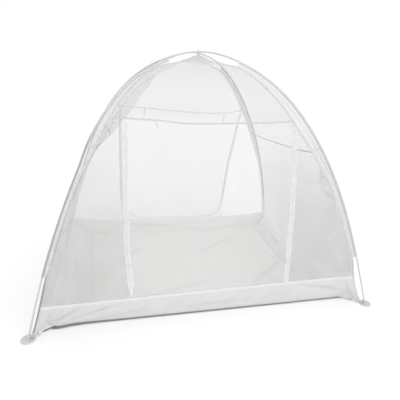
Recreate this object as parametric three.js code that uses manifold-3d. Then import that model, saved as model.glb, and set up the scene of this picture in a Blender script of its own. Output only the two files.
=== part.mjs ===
// Pop-up mosquito net: two long springy poles crossed over a bed, a four-sided net dome hung
// inside them in sleeves, a cloth skirt round the foot, a groundsheet and four round feet.
// Millimetres, +Z up, x along the long side, the zipped door side faces -Y.
import * as THREE from "three";
import { mergeVertices } from "three/addons/utils/BufferGeometryUtils.js";
import Module from "manifold-3d";

const wasm = await Module();
wasm.setup();

const vec = (x, y, z) => new THREE.Vector3(x, y, z);
const UP = vec(0, 0, 1);
const lerp = THREE.MathUtils.lerp;
const clamp = THREE.MathUtils.clamp;

// ------------------------------------------------------------ main sizes
const HALF_LONG = 980; // half the spacing of the back feet
const HALF_SHORT = 735; // half the spacing of the feet along the short side
const REACH = Math.hypot(HALF_LONG, HALF_SHORT); // plan length of one leg
const CROWN = { x: -9, y: -4, z: 1482 }; // where the two poles cross
const CENTRE_SHIFT = 18; // the front feet are set forward, so the whole is centred by this much in y
const POLE_END_ANGLE = 69.3; // slope of the bent pole at its foot before it is stretched, degrees
const POLE_RADIUS = 4.4;
const POLE_SIDES = 8;
const CROSS_LIFT = 4.7; // each pole clears the other by this much up or down at the crossing
const CROSS_FROM = 0.85; // share of the leg where that lift begins
const DIP_FROM = 0.64; // share of the leg where a pressed-down stretch begins
const KNEE = { at: 0.41, below: 0.34, above: 0.1 }; // share of the leg pushed in furthest, and its reach

const NET_THICK = 1;
const SKIRT_THICK = 1.4;
const FLOOR_THICK = 1.5;
const TAPE_THICK = 1.2;
const GAP = 0.35; // between neighbouring pieces
const TAPE_STAND_OFF = 3.4; // middle of a tape to the middle of the net, where the net is curved most

const SEAM_T = 0.0755; // leg share where net and skirt meet
const CAP_T = 0.933; // leg share where the net meets the peak cap
const SLEEVE_T = [0.153, 0.86]; // the pole sleeves run between these leg shares
const BINDING_T = [0.014, 0.931];
const PEAK_Z = 1470;

// Shares of the leg, foot to crossing, where poles, sleeves and bindings have a section.
const STATIONS = [
  0.0035, 0.014, 0.045, 0.075, 0.11, 0.153, 0.2, 0.25, 0.3, 0.35, 0.4, 0.45, 0.5, 0.55, 0.6,
  0.64, 0.68, 0.72, 0.755, 0.79, 0.825, 0.86, 0.895, 0.931, 0.965, 1,
];

// One row for each leg: where its foot stands, how far it bows out and swings in an S along its
// diagonal, how far it is pushed in at its middle (knee), whether its pole passes over the other,
// how far it is pressed down near the crossing (dip) and how much higher the skirt's seam meets it
// (seamRise, leg share). The rail is the seam line that hangs inside the pole; inset is its
// distance from the pole's centre at a share t of the leg. hem is the skirt's corner on the ground.
const LEGS = {
  fl: {
    foot: [-982, -746], bow: 10, swing: 0, knee: 15, over: -1, dip: 28, seamRise: 0.003,
    inset: { t: [0, 0.03, 0.08, 0.153, 0.25, 0.35, 0.41, 0.462, 0.584, 0.695, 0.8, 0.86, 0.93, 0.95, 1],
      mm: [12, 22, 24, 20, 18, 18, 23, 41, 56, 50, 42, 46, 39, 32, 11] },
    hem: vec(-934, -706, 8),
  },
  fr: {
    foot: [957, -771], bow: -6, swing: 3, knee: 0, over: 1, dip: 6, seamRise: 0.0165,
    inset: { t: [0, 0.006, 0.03, 0.063, 0.104, 0.15, 0.35, 0.41, 0.462, 0.584, 0.695, 0.8, 0.83, 0.92, 1],
      mm: [14, 20, 37, 41, 35, 24, 33, 40, 53, 60, 50, 34, 30, 48, 11] },
    hem: vec(910, -730, 8),
  },
  br: {
    foot: [HALF_LONG, HALF_SHORT], bow: -4, swing: 23, knee: 0, over: -1, dip: 0, seamRise: 0,
    inset: { t: [0, 0.03, 0.08, 0.153, 0.35, 0.462, 0.584, 0.695, 0.8, 0.86, 0.92, 1],
      mm: [13, 28, 31, 26, 33, 50, 57, 50, 38, 36, 48, 11] },
    hem: vec(915, 697, 5),
  },
  bl: {
    foot: [-HALF_LONG, HALF_SHORT], bow: 4, swing: -21, knee: 0, over: 1, dip: 0, seamRise: 0,
    inset: { t: [0, 0.03, 0.08, 0.153, 0.35, 0.462, 0.584, 0.695, 0.8, 0.86, 0.92, 1],
      mm: [13, 28, 31, 26, 33, 50, 57, 50, 38, 36, 48, 11] },
    hem: vec(-915, 700, 5),
  },
};

// A smooth curve through a short table that never overshoots between two of its rows.
function through(xs, ys, x) {
  const last = xs.length - 1;
  if (x <= xs[0]) return ys[0];
  if (x >= xs[last]) return ys[last];
  const slope = (i) => (ys[i + 1] - ys[i]) / (xs[i + 1] - xs[i]);
  const tangent = (i) => {
    if (i === 0) return slope(0);
    if (i === last) return slope(last - 1);
    const before = slope(i - 1);
    const after = slope(i);
    return before * after <= 0 ? 0 : (2 * before * after) / (before + after);
  };
  let i = 0;
  while (x > xs[i + 1]) i += 1;
  const width = xs[i + 1] - xs[i];
  const s = (x - xs[i]) / width;
  const start = (1 + 2 * s) * (1 - s) ** 2 * ys[i] + s * (1 - s) ** 2 * width * tangent(i);
  const end = s * s * (3 - 2 * s) * ys[i + 1] + s * s * (s - 1) * width * tangent(i + 1);
  return start + end;
}

// ------------------------------------------------------------ the bent pole
// Half of a bent springy rod (an elastica) from the crossing down to the foot: run is the
// horizontal distance from the crossing, rise the height, share the length from the foot.
function bentRod() {
  const steps = 480;
  const k = Math.sin(THREE.MathUtils.degToRad(POLE_END_ANGLE) / 2);
  const rows = [{ run: 0, rise: 2 * k }];
  const delta = (phi) => Math.sqrt(1 - (k * Math.sin(phi)) ** 2);
  const rate = (phi) => 2 * delta(phi) - 1 / delta(phi);
  const step = Math.PI / 2 / steps;
  for (let i = 1; i <= steps; i += 1) {
    const run = rows[i - 1].run + step * rate((i - 0.5) * step);
    rows.push({ run, rise: 2 * k * Math.cos(i * step) });
  }
  const reach = REACH / rows[steps].run;
  const lift = CROWN.z / (2 * k);
  for (const row of rows) {
    row.run *= reach;
    row.rise *= lift;
  }
  rows.reverse();
  rows[0].share = 0;
  for (let i = 1; i < rows.length; i += 1) {
    const length = Math.hypot(rows[i].run - rows[i - 1].run, rows[i].rise - rows[i - 1].rise);
    rows[i].share = rows[i - 1].share + length;
  }
  const whole = rows[steps].share;
  for (const row of rows) row.share /= whole;
  return rows;
}
const ROD = bentRod();

function rodAt(t) {
  let i = 0;
  while (i < ROD.length - 2 && ROD[i + 1].share < t) i += 1;
  const s = (t - ROD[i].share) / (ROD[i + 1].share - ROD[i].share);
  return { run: lerp(ROD[i].run, ROD[i + 1].run, s), rise: lerp(ROD[i].rise, ROD[i + 1].rise, s) };
}

function polePoint(leg, t) {
  const { foot, bow, swing, knee, over, dip } = LEGS[leg];
  const { run, rise } = rodAt(t);
  const fromKnee = clamp((t - KNEE.at) / (t < KNEE.at ? KNEE.below : KNEE.above), -1, 1);
  const pushed = knee * Math.cos((Math.PI / 2) * fromKnee) ** 2;
  const out = run + bow * Math.sin(Math.PI * t) + swing * Math.sin(2 * Math.PI * t) - pushed;
  const lean = rise / CROWN.z;
  const lift = over * CROSS_LIFT * THREE.MathUtils.smoothstep(t, CROSS_FROM, 1);
  const press = dip * Math.sin(Math.PI * clamp((t - DIP_FROM) / (1 - DIP_FROM), 0, 1)) ** 2;
  return vec(
    (foot[0] * out) / REACH + CROWN.x * lean,
    (foot[1] * out) / REACH + CROWN.y * lean,
    rise + lift - press,
  );
}

// The frame that goes along a leg: inside points in and down across the pole, side points
// squarely out of the leg's own upright plane.
const toMiddle = (leg) => vec(-LEGS[leg].foot[0], -LEGS[leg].foot[1], 0).normalize();

function legFrame(leg, t) {
  const step = 0.004;
  const at = polePoint(leg, t);
  const along = polePoint(leg, Math.min(t + step, 1)).sub(polePoint(leg, Math.max(t - step, 0)));
  along.normalize();
  const inward = toMiddle(leg);
  const flatAlong = along.dot(inward);
  const inside = inward.multiplyScalar(along.z).addScaledVector(UP, -flatAlong).normalize();
  const side = inside.clone().cross(along).normalize();
  return { at, along, inside, side };
}

const insetAt = (leg, t) => through(LEGS[leg].inset.t, LEGS[leg].inset.mm, t);

function railPoint(leg, t) {
  const frame = legFrame(leg, t);
  return frame.at.addScaledVector(frame.inside, insetAt(leg, t));
}

// ------------------------------------------------------------ closed bodies from grids
function closedBody(points, faces) {
  let volume = 0;
  for (const [a, b, c] of faces) {
    volume += points[a].dot(vec(0, 0, 0).crossVectors(points[b], points[c]));
  }
  const outward = volume < 0 ? faces.map(([a, b, c]) => [a, c, b]) : faces;
  const geometry = new THREE.BufferGeometry();
  const numbers = points.flatMap((p) => [p.x, p.y, p.z]);
  geometry.setAttribute("position", new THREE.Float32BufferAttribute(numbers, 3));
  geometry.setIndex(outward.flat());
  geometry.computeVertexNormals();
  return geometry;
}

// A thin sheet: rows of middle points, given half the thickness to each side and closed round
// its edges.
function sheet(rows, thickness) {
  const height = rows.length;
  const width = rows[0].length;
  const points = [];
  for (const way of [1, -1]) {
    for (let i = 0; i < height; i += 1) {
      for (let j = 0; j < width; j += 1) {
        const across = rows[i][Math.min(j + 1, width - 1)].clone().sub(rows[i][Math.max(j - 1, 0)]);
        const down = rows[Math.min(i + 1, height - 1)][j].clone().sub(rows[Math.max(i - 1, 0)][j]);
        const normal = across.cross(down).normalize();
        points.push(rows[i][j].clone().addScaledVector(normal, (way * thickness) / 2));
      }
    }
  }
  const under = height * width;
  const index = (i, j) => i * width + j;
  const faces = [];
  const quad = (a, b, c, d) => faces.push([a, b, c], [a, c, d]);
  for (let i = 0; i < height - 1; i += 1) {
    for (let j = 0; j < width - 1; j += 1) {
      const [a, b, c, d] = [index(i, j), index(i, j + 1), index(i + 1, j + 1), index(i + 1, j)];
      quad(a, b, c, d);
      quad(under + a, under + d, under + c, under + b);
    }
  }
  const rim = [];
  for (let j = 0; j < width - 1; j += 1) rim.push(index(0, j));
  for (let i = 0; i < height - 1; i += 1) rim.push(index(i, width - 1));
  for (let j = width - 1; j > 0; j -= 1) rim.push(index(height - 1, j));
  for (let i = height - 1; i > 0; i -= 1) rim.push(index(i, 0));
  rim.forEach((a, n) => {
    const b = rim[(n + 1) % rim.length];
    quad(b, a, under + a, under + b);
  });
  return closedBody(points, faces);
}

// A solid swept through sections of the same number of points, closed at both ends.
function swept(sections) {
  const count = sections[0].length;
  const points = sections.flat();
  const faces = [];
  for (let i = 0; i < sections.length - 1; i += 1) {
    for (let j = 0; j < count; j += 1) {
      const a = i * count + j;
      const b = i * count + ((j + 1) % count);
      faces.push([a, b, b + count], [a, b + count, a + count]);
    }
  }
  const end = (sections.length - 1) * count;
  for (let j = 1; j < count - 1; j += 1) {
    faces.push([0, j + 1, j], [end, end + j, end + j + 1]);
  }
  return closedBody(points, faces);
}

// The same with a hole right through: each section is an outer and an inner loop of equal count.
function sweptTube(outers, inners) {
  const count = outers[0].length;
  const points = [...outers.flat(), ...inners.flat()];
  const inner = outers.length * count;
  const faces = [];
  for (let i = 0; i < outers.length - 1; i += 1) {
    for (let j = 0; j < count; j += 1) {
      const a = i * count + j;
      const b = i * count + ((j + 1) % count);
      faces.push([a, b, b + count], [a, b + count, a + count]);
      faces.push([inner + a, inner + b + count, inner + b]);
      faces.push([inner + a, inner + a + count, inner + b + count]);
    }
  }
  const end = (outers.length - 1) * count;
  for (let j = 0; j < count; j += 1) {
    const k = (j + 1) % count;
    faces.push([j, inner + k, k], [j, inner + j, inner + k]);
    faces.push([end + j, end + k, inner + end + k], [end + j, inner + end + k, inner + end + j]);
  }
  return closedBody(points, faces);
}

const inFrame = (frame, a, b) =>
  frame.at.clone().addScaledVector(frame.inside, a).addScaledVector(frame.side, b);

const round = (radius, angle) => [radius * Math.cos(angle), radius * Math.sin(angle)];

// ------------------------------------------------------------ materials and scene
const MATERIALS = {
  pole: [0xdcdbd8, 0.45],
  foot: [0xc9c8c5, 0.5],
  net: [0xeeeeec, 0.9],
  cloth: [0xdddcd9, 0.85],
  floor: [0xe0dfdc, 0.85],
  tape: [0xe8e7e4, 0.8],
  zip: [0xd6d5d2, 0.6],
};
const net = new THREE.Group();

function add(name, material, geometry) {
  const [color, roughness] = MATERIALS[material];
  const skin = new THREE.MeshStandardMaterial({ color, roughness, metalness: 0 });
  const mesh = new THREE.Mesh(geometry, skin);
  mesh.name = name;
  net.add(mesh);
  return mesh;
}

// ------------------------------------------------------------ poles
function pole(legs) {
  const circle = [];
  for (let j = 0; j < POLE_SIDES; j += 1) circle.push(((j + 0.5) * 2 * Math.PI) / POLE_SIDES);
  const ring = (leg, t, mirror) => {
    const frame = legFrame(leg, t);
    return circle.map((angle) => inFrame(frame, ...round(POLE_RADIUS, mirror * angle)));
  };
  const up = STATIONS.map((t) => ring(legs[0], t, 1));
  const down = STATIONS.slice(0, -1)
    .reverse()
    .map((t) => ring(legs[1], t, -1));
  return swept([...up, ...down]);
}
add("pole_front_left_to_back_right", "pole", pole(["fl", "br"]));
add("pole_front_right_to_back_left", "pole", pole(["fr", "bl"]));

// ------------------------------------------------------------ feet
const FOOT = { radius: 34, height: 7, rim: 6.5, dish: 4.5, corner: 2 };
const BOSS = { radius: 8, height: 24.2, bury: 1 }; // its leaning end is cut level, this high in the disc
const SOCKET = { radius: 5, floor: 3 };

function solidOf(geometry) {
  const bare = geometry.clone();
  bare.deleteAttribute("normal");
  bare.deleteAttribute("uv");
  const merged = mergeVertices(bare, 1e-4);
  const shell = new wasm.Mesh({
    numProp: 3,
    vertProperties: new Float32Array(merged.attributes.position.array),
    triVerts: new Uint32Array(merged.index.array),
  });
  return new wasm.Manifold(shell);
}

function geometryOf(solid) {
  const shell = solid.getMesh();
  const geometry = new THREE.BufferGeometry();
  geometry.setAttribute("position", new THREE.BufferAttribute(shell.vertProperties, 3));
  geometry.setIndex(new THREE.BufferAttribute(shell.triVerts, 1));
  geometry.computeVertexNormals();
  return geometry;
}

// A cylinder from one point towards another direction, its axis leaned with the pole.
function leaned(radius, from, direction, length, sides) {
  const geometry = new THREE.CylinderGeometry(radius, radius, length, sides);
  geometry.translate(0, length / 2, 0);
  geometry.applyQuaternion(new THREE.Quaternion().setFromUnitVectors(vec(0, 1, 0), direction));
  geometry.translate(from.x, from.y, from.z);
  return geometry;
}

function foot(leg) {
  const { radius, height, rim, dish, corner } = FOOT;
  const profile = [
    [0, 0],
    [radius - corner, 0],
    [radius, corner],
    [radius, height - corner],
    [radius - corner, height],
    [radius - rim, height],
    [radius - rim - corner, dish],
    [0, dish],
  ].map(([x, y]) => new THREE.Vector2(x, y));
  const disc = new THREE.LatheGeometry(profile, 40);
  disc.rotateX(Math.PI / 2);
  disc.translate(...LEGS[leg].foot, 0);
  const direction = legFrame(leg, 0.004).along;
  const boss = leaned(BOSS.radius, polePoint(leg, 0), direction, BOSS.height, 24);
  const low = polePoint(leg, 0).addScaledVector(direction, SOCKET.floor);
  const socket = leaned(SOCKET.radius, low, direction, BOSS.height * 2, 24);
  const cup = solidOf(boss).trimByPlane([0, 0, 1], BOSS.bury);
  return geometryOf(solidOf(disc).add(cup).subtract(solidOf(socket)));
}
for (const leg of Object.keys(LEGS)) add(`foot_${leg}`, "foot", foot(leg));

// ------------------------------------------------------------ net walls
// Each wall hangs between two rails. inward is the way it sags; pull holds its edges clear of
// the bindings. Rows: how far the middle sags in and droops when the rails are z high. Edge: the
// same for the seam with the skirt, at shares u from the first rail to the second.
const WALLS = {
  front: {
    legs: ["fl", "fr"], inward: vec(0, 1, 0), pull: 4.7,
    rows: { z: [137, 300, 500, 700, 900, 1075, 1180, 1290, 1380, 1425],
      sag: [12, 25, 40, 60, 85, 108, 112, 85, 25, 0], droop: [2, 5, 8, 12, 25, 38, 30, 12, 3, 0] },
    edge: { u: [0, 0.1, 0.5, 0.9, 1], sag: [0, 8, 12, 8, 0], droop: [0, 5, 4, 0, 0] },
  },
  right: {
    legs: ["fr", "br"], inward: vec(-1, 0, 0), pull: 3.3,
    rows: { z: [137, 300, 500, 700, 850, 912, 1013, 1126, 1239, 1360, 1425],
      sag: [60, 30, 15, 15, 22, 49, 83, 97, 83, 18, 0], droop: [45, 15, 5, 0, 0, 0, 0, 0, 0, 0, 0] },
    edge: { u: [0, 0.068, 0.111, 0.165, 0.25, 0.4, 0.5, 0.6, 0.72, 0.865, 1],
      sag: [0, 58, 56, 50, 43, 47, 48, 43, 33, 3, 0],
      droop: [0, 28, 38, 43, 47, 46, 43, 38, 28, 13, 0] },
  },
  back: {
    legs: ["br", "bl"], inward: vec(0, -1, 0), pull: 4.7,
    rows: { z: [137, 300, 500, 700, 900, 1100, 1200, 1300, 1390, 1425],
      sag: [40, 45, 55, 70, 90, 105, 105, 75, 20, 0], droop: [20, 10, 8, 12, 20, 32, 20, 8, 0, 0] },
    edge: { u: [0, 0.15, 0.5, 0.85, 1], sag: [0, 28, 42, 28, 0], droop: [0, 18, 26, 18, 0] },
  },
  left: {
    legs: ["bl", "fl"], inward: vec(1, 0, 0), pull: 3.3,
    rows: { z: [137, 300, 500, 700, 850, 912, 1013, 1126, 1239, 1360, 1425],
      sag: [60, 30, 15, 15, 22, 49, 83, 97, 83, 18, 0], droop: [45, 15, 5, 0, 0, 0, 0, 0, 0, 0, 0] },
    edge: { u: [0, 0.11, 0.38, 0.56, 0.76, 0.92, 1], sag: [0, -15, 14, 34, 31, 33, 0],
      droop: [0, 20, 34, 37, 37, 34, 0] },
  },
};
const WALL_U = [0, 0.03, 0.08, 0.17, 0.28, 0.39, 0.5, 0.61, 0.72, 0.83, 0.92, 0.97, 1];
const WALL_T = [
  SEAM_T, 0.14, 0.22, 0.3, 0.375, 0.435, 0.49, 0.54, 0.59, 0.64, 0.69, 0.735, 0.775, 0.815,
  0.855, 0.895, BINDING_T[1],
];
const EDGE_REACH = 0.14; // leg share over which the skirt seam's own line fades into the wall

function wallPoint(name, u, t) {
  const { legs, inward, pull, rows, edge } = WALLS[name];
  const low = 1 - THREE.MathUtils.smoothstep(t, SEAM_T, SEAM_T + EDGE_REACH);
  const [first, second] = legs.map((leg) => railPoint(leg, t + LEGS[leg].seamRise * low));
  const chord = second.clone().sub(first).normalize();
  const height = (first.z + second.z) / 2;
  first.addScaledVector(chord, pull);
  second.addScaledVector(chord, -pull);
  const bulge = 4 * u * (1 - u);
  const sag = lerp(through(rows.z, rows.sag, height) * bulge, through(edge.u, edge.sag, u), low);
  const droop = lerp(through(rows.z, rows.droop, height) * bulge, through(edge.u, edge.droop, u), low);
  return first.lerp(second, u).addScaledVector(inward, sag).addScaledVector(UP, -droop);
}

for (const name of Object.keys(WALLS)) {
  const rows = WALL_T.map((t) => WALL_U.map((u) => wallPoint(name, u, t)));
  add(`net_${name}`, "net", sheet(rows, NET_THICK));
}

// ------------------------------------------------------------ peak cap and crown tie
const CAP_CELLS = 6;

function peakCap() {
  const corner = Object.fromEntries(Object.keys(LEGS).map((leg) => [leg, railPoint(leg, CAP_T)]));
  const rows = [];
  for (let i = 0; i <= CAP_CELLS; i += 1) {
    const row = [];
    for (let j = 0; j <= CAP_CELLS; j += 1) {
      const a = i / CAP_CELLS;
      const b = j / CAP_CELLS;
      const front = corner.fl.clone().lerp(corner.fr, b);
      const point = front.lerp(corner.bl.clone().lerp(corner.br, b), a);
      const outness = Math.max(Math.abs(2 * a - 1), Math.abs(2 * b - 1));
      point.z = lerp(PEAK_Z, point.z, outness);
      row.push(point);
    }
    rows.push(row);
  }
  return sheet(rows, NET_THICK);
}
add("peak_cap", "cloth", peakCap());

const TIE = { width: 12, inner: [21.5, 19.8], thick: 1.5, corner: 5 };

// A closed rounded frame as a shape, width by height round the origin.
function roundedFrame(width, height, corner, path) {
  const x = width / 2;
  const y = height / 2;
  path.moveTo(-x + corner, -y);
  path.lineTo(x - corner, -y);
  path.quadraticCurveTo(x, -y, x, -y + corner);
  path.lineTo(x, y - corner);
  path.quadraticCurveTo(x, y, x - corner, y);
  path.lineTo(-x + corner, y);
  path.quadraticCurveTo(-x, y, -x, y - corner);
  path.lineTo(-x, -y + corner);
  path.quadraticCurveTo(-x, -y, -x + corner, -y);
  return path;
}

function loopOfTape({ width, inner, thick, corner }) {
  const [w, h] = inner;
  const outline = roundedFrame(w + 2 * thick, h + 2 * thick, corner + thick, new THREE.Shape());
  outline.holes.push(roundedFrame(w, h, corner, new THREE.Path()));
  const loop = new THREE.ExtrudeGeometry(outline, { depth: width, bevelEnabled: false, curveSegments: 4 });
  loop.translate(0, 0, -width / 2);
  return loop;
}
const tie = loopOfTape(TIE);
tie.applyMatrix4(new THREE.Matrix4().makeBasis(vec(0, 1, 0), UP, vec(1, 0, 0)));
tie.translate(CROWN.x, CROWN.y, CROWN.z);
add("crown_tie", "tape", tie);

// ------------------------------------------------------------ pole sleeves and rail bindings
const SLEEVE = { inner: 5.2, outer: 6.2, finHalf: 1, ringSides: 8 };
const BINDING = { half: 4.5, thickHalf: 1.2 };
const between = (low, high) => STATIONS.filter((t) => t >= low - 1e-6 && t <= high + 1e-6);

// The sleeve is a ring of cloth round the pole that closes into a flat fin sewn to the binding.
function sleeve(leg) {
  const { inner, outer, finHalf, ringSides } = SLEEVE;
  const mouth = Math.asin(finHalf / outer);
  const angles = [];
  for (let j = 0; j < ringSides; j += 1) {
    angles.push(lerp(mouth, 2 * Math.PI - mouth, j / (ringSides - 1)));
  }
  const outers = [];
  const inners = [];
  for (const t of between(...SLEEVE_T)) {
    const frame = legFrame(leg, t);
    const tip = insetAt(leg, t) - BINDING.half - GAP;
    const ring = angles.map((angle) => inFrame(frame, ...round(outer, angle)));
    outers.push([...ring, inFrame(frame, tip, -finHalf), inFrame(frame, tip, finHalf)]);
    const lining = angles.map((angle) => inFrame(frame, ...round(inner, angle)));
    const third = mouth / 3;
    lining.push(inFrame(frame, ...round(inner, -third)), inFrame(frame, ...round(inner, third)));
    inners.push(lining);
  }
  return sweptTube(outers, inners);
}

function binding(leg) {
  const { half, thickHalf } = BINDING;
  const sections = between(...BINDING_T).map((t) => {
    const frame = legFrame(leg, t);
    const middle = insetAt(leg, t);
    return [
      inFrame(frame, middle - half, -thickHalf),
      inFrame(frame, middle + half, -thickHalf),
      inFrame(frame, middle + half, thickHalf),
      inFrame(frame, middle - half, thickHalf),
    ];
  });
  return swept(sections);
}
for (const leg of Object.keys(LEGS)) {
  add(`sleeve_${leg}`, "cloth", sleeve(leg));
  add(`binding_${leg}`, "tape", binding(leg));
}

// ------------------------------------------------------------ skirts and groundsheet
// The hem line of each side on the ground: distance out from the middle (out) at places along
// the side (at), from its first corner to its second. The short sides curve well in.
const HEMS = {
  front: { axis: "x", sign: -1, lift: 8,
    at: [-934, -905, -860, -780, -700, -215, 548, 860, 890, 902, 910],
    out: [704, 685, 674, 671, 672, 676, 683, 685, 694, 708, 728] },
  right: { axis: "y", sign: 1, lift: 5.5,
    at: [-728, -690, -640, -560, -445, -392, -126, 0, 267, 480, 600, 660, 697],
    out: [908, 850, 780, 722, 698, 700, 715, 724, 765, 782, 810, 860, 915] },
  back: { axis: "x", sign: 1, lift: 5,
    at: [-915, -777, -682, -472, -407, 90, 384, 600, 694, 915],
    out: [700, 690, 655, 641, 648, 640, 644, 670, 692, 697] },
  left: { axis: "y", sign: -1, lift: 5.5,
    at: [-706, -650, -580, -411, -133, 189, 480, 633, 672, 700],
    out: [932, 840, 750, 696, 708, 722, 735, 742, 820, 915] },
};
const SEAM_GAP = 0.95; // the skirt's top edge lies this far below the net's
const EAR_U = 0.03; // share of a skirt's width between its tip at the foot and the hem's corner
const HEM_SPREAD = 5; // each hem corner stands this far off the leg's plane, to its own side
const FLOOR_RIM = [{ s: 0.93, rise: 0 }, { s: 0.97, rise: 0.35 }, { s: 1, rise: 1 }];
const FLOOR_REST = FLOOR_THICK / 2;

function hemPoint(name, u) {
  const { legs, pull } = WALLS[name];
  const { axis, sign, lift, at, out } = HEMS[name];
  const away = name === "front" || name === "right" ? 1 : -1;
  const corners = legs.map((leg, n) => {
    const inward = toMiddle(leg);
    const alongSide = axis === "x" ? vec(1, 0, 0) : vec(0, 1, 0);
    const toOther = alongSide.multiplyScalar(n === 0 ? away : -away);
    const offPlane = toOther.addScaledVector(inward, -toOther.dot(inward)).normalize();
    return LEGS[leg].hem.clone().setZ(lift).addScaledVector(offPlane, HEM_SPREAD);
  });
  if (u < EAR_U || u > 1 - EAR_U) {
    const n = u < EAR_U ? 0 : 1;
    const tip = railPoint(legs[n], BINDING_T[0]);
    const chord = railPoint(legs[1 - n], BINDING_T[0]).sub(tip).normalize();
    const near = n === 0 ? u / EAR_U : (1 - u) / EAR_U;
    return tip.addScaledVector(chord, pull + 0.8).lerp(corners[n], near);
  }
  const share = (u - EAR_U) / (1 - 2 * EAR_U);
  if (share < 1e-6) return corners[0];
  if (share > 1 - 1e-6) return corners[1];
  const place = lerp(corners[0][axis], corners[1][axis], share);
  const far = sign * through(at, out, place);
  return axis === "x" ? vec(place, far, lift) : vec(far, place, lift);
}

function skirt(name) {
  const rows = [0, 0.33, 0.67, 1].map((drop) =>
    WALL_U.map((u) => {
      const top = wallPoint(name, u, SEAM_T);
      const hem = hemPoint(name, u);
      if (drop > 0) return top.lerp(hem, drop);
      const down = hem.clone().sub(top).normalize();
      return top.addScaledVector(down, SEAM_GAP);
    }),
  );
  return sheet(rows, SKIRT_THICK);
}
for (const name of Object.keys(WALLS)) add(`skirt_${name}`, "cloth", skirt(name));

const HEM_U = WALL_U.filter((u) => u >= EAR_U && u <= 1 - EAR_U);
const RIM_DROP = { front: 1.3, right: 1.9, back: 1.5, left: 1.9 };

function groundsheet() {
  const outline = Object.keys(WALLS).flatMap((name) =>
    HEM_U.map((u) => {
      const point = hemPoint(name, u);
      point.z -= RIM_DROP[name];
      return point;
    }),
  );
  const count = outline.length;
  const points = [];
  const faces = [];
  for (const way of [1, -1]) {
    const start = points.length;
    points.push(vec(0, 0, FLOOR_REST + (way * FLOOR_THICK) / 2));
    for (const { s, rise } of FLOOR_RIM) {
      for (const p of outline) {
        const z = lerp(FLOOR_REST, p.z, rise) + (way * FLOOR_THICK) / 2;
        points.push(vec(p.x * s, p.y * s, z));
      }
    }
    for (let j = 0; j < count; j += 1) {
      const k = (j + 1) % count;
      const turn = (a, b, c) => faces.push(way > 0 ? [a, b, c] : [a, c, b]);
      turn(start, start + 1 + j, start + 1 + k);
      for (let ring = 0; ring < FLOOR_RIM.length - 1; ring += 1) {
        const a = start + 1 + ring * count;
        turn(a + j, a + count + j, a + count + k);
        turn(a + j, a + count + k, a + k);
      }
    }
  }
  const under = points.length / 2;
  const rim = 1 + (FLOOR_RIM.length - 1) * count;
  for (let j = 0; j < count; j += 1) {
    const k = (j + 1) % count;
    faces.push([rim + j, under + rim + j, under + rim + k], [rim + j, under + rim + k, rim + k]);
  }
  return closedBody(points, faces);
}
add("groundsheet", "floor", groundsheet());

// ------------------------------------------------------------ tapes sewn to the net walls
// A place on a wall from its distance along the side (x or y) and its height, with the outward
// normal there.
function onWall(name, place, height) {
  const { inward } = WALLS[name];
  const axis = Math.abs(inward.x) > 0 ? "y" : "x";
  const shareAt = (t) => {
    const first = wallPoint(name, 0, t)[axis];
    const second = wallPoint(name, 1, t)[axis];
    return clamp((place - first) / (second - first), 0, 1);
  };
  let low = WALL_T[0];
  let high = WALL_T[WALL_T.length - 1];
  for (let i = 0; i < 30; i += 1) {
    const middle = (low + high) / 2;
    if (wallPoint(name, shareAt(middle), middle).z < height) low = middle;
    else high = middle;
  }
  const u = shareAt(low);
  const step = 0.01;
  const [left, right] = [clamp(u - step, 0, 1), clamp(u + step, 0, 1)];
  const across = wallPoint(name, right, low).sub(wallPoint(name, left, low));
  const upward = wallPoint(name, u, low + step / 2).sub(wallPoint(name, u, low - step / 2));
  const normal = across.cross(upward).normalize();
  if (normal.dot(inward) > 0) normal.negate();
  return { point: wallPoint(name, u, low), normal };
}

// A path over a wall as evenly spaced places, smooth through the named ones.
function pathOver(places, spacing) {
  const curve = new THREE.CatmullRomCurve3(places.map(([a, z]) => vec(a, z, 0)), false, "centripetal");
  const steps = Math.max(2, Math.round(curve.getLength() / spacing));
  return curve.getSpacedPoints(steps).map((p) => [p.x, p.y]);
}

// A strip of tape along a path over a wall, standing off the net by a set distance.
function wallTape(name, places, { width, thick = TAPE_THICK, off = TAPE_STAND_OFF, spacing = 60 }) {
  const path = pathOver(places, spacing).map(([a, z]) => onWall(name, a, z));
  const centres = path.map(({ point, normal }) => point.addScaledVector(normal, off));
  const rows = centres.map((centre, i) => {
    const before = centres[Math.max(i - 1, 0)];
    const after = centres[Math.min(i + 1, centres.length - 1)];
    const across = after.clone().sub(before).cross(path[i].normal).normalize();
    return [-0.5, 0, 0.5].map((share) => centre.clone().addScaledVector(across, share * width));
  });
  return sheet(rows, thick);
}

// Door side: the long seam across the top and the two taped edges of the zipped door.
const FRONT_SEAM = [
  [-592, 1064], [-450, 1056], [-300, 1050], [-160, 1040], [70, 1047], [270, 1061], [400, 1071],
  [484, 1084], [532, 1085],
];
const FRONT_SEAM_WIDTH = 11;
const LEFT_ZIP = {
  places: [
    [-501, 1036], [-504, 895], [-506, 694], [-505, 544], [-505, 392], [-500, 340], [-495, 289],
    [-490, 236], [-486, 196],
  ],
  width: 30,
  off: 2.5,
};
const RIGHT_ZIP = {
  places: [
    [503, 1062], [501, 916], [490, 800], [477, 685], [462, 570], [448, 455], [432, 340], [419, 222],
    [418, 160],
  ],
  width: 31,
};
add("front_seam_tape", "tape", wallTape("front", FRONT_SEAM, { width: FRONT_SEAM_WIDTH }));
add("front_zip_tape_left", "tape", wallTape("front", LEFT_ZIP.places, LEFT_ZIP));
add("front_zip_tape_right", "tape", wallTape("front", RIGHT_ZIP.places, RIGHT_ZIP));

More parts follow.
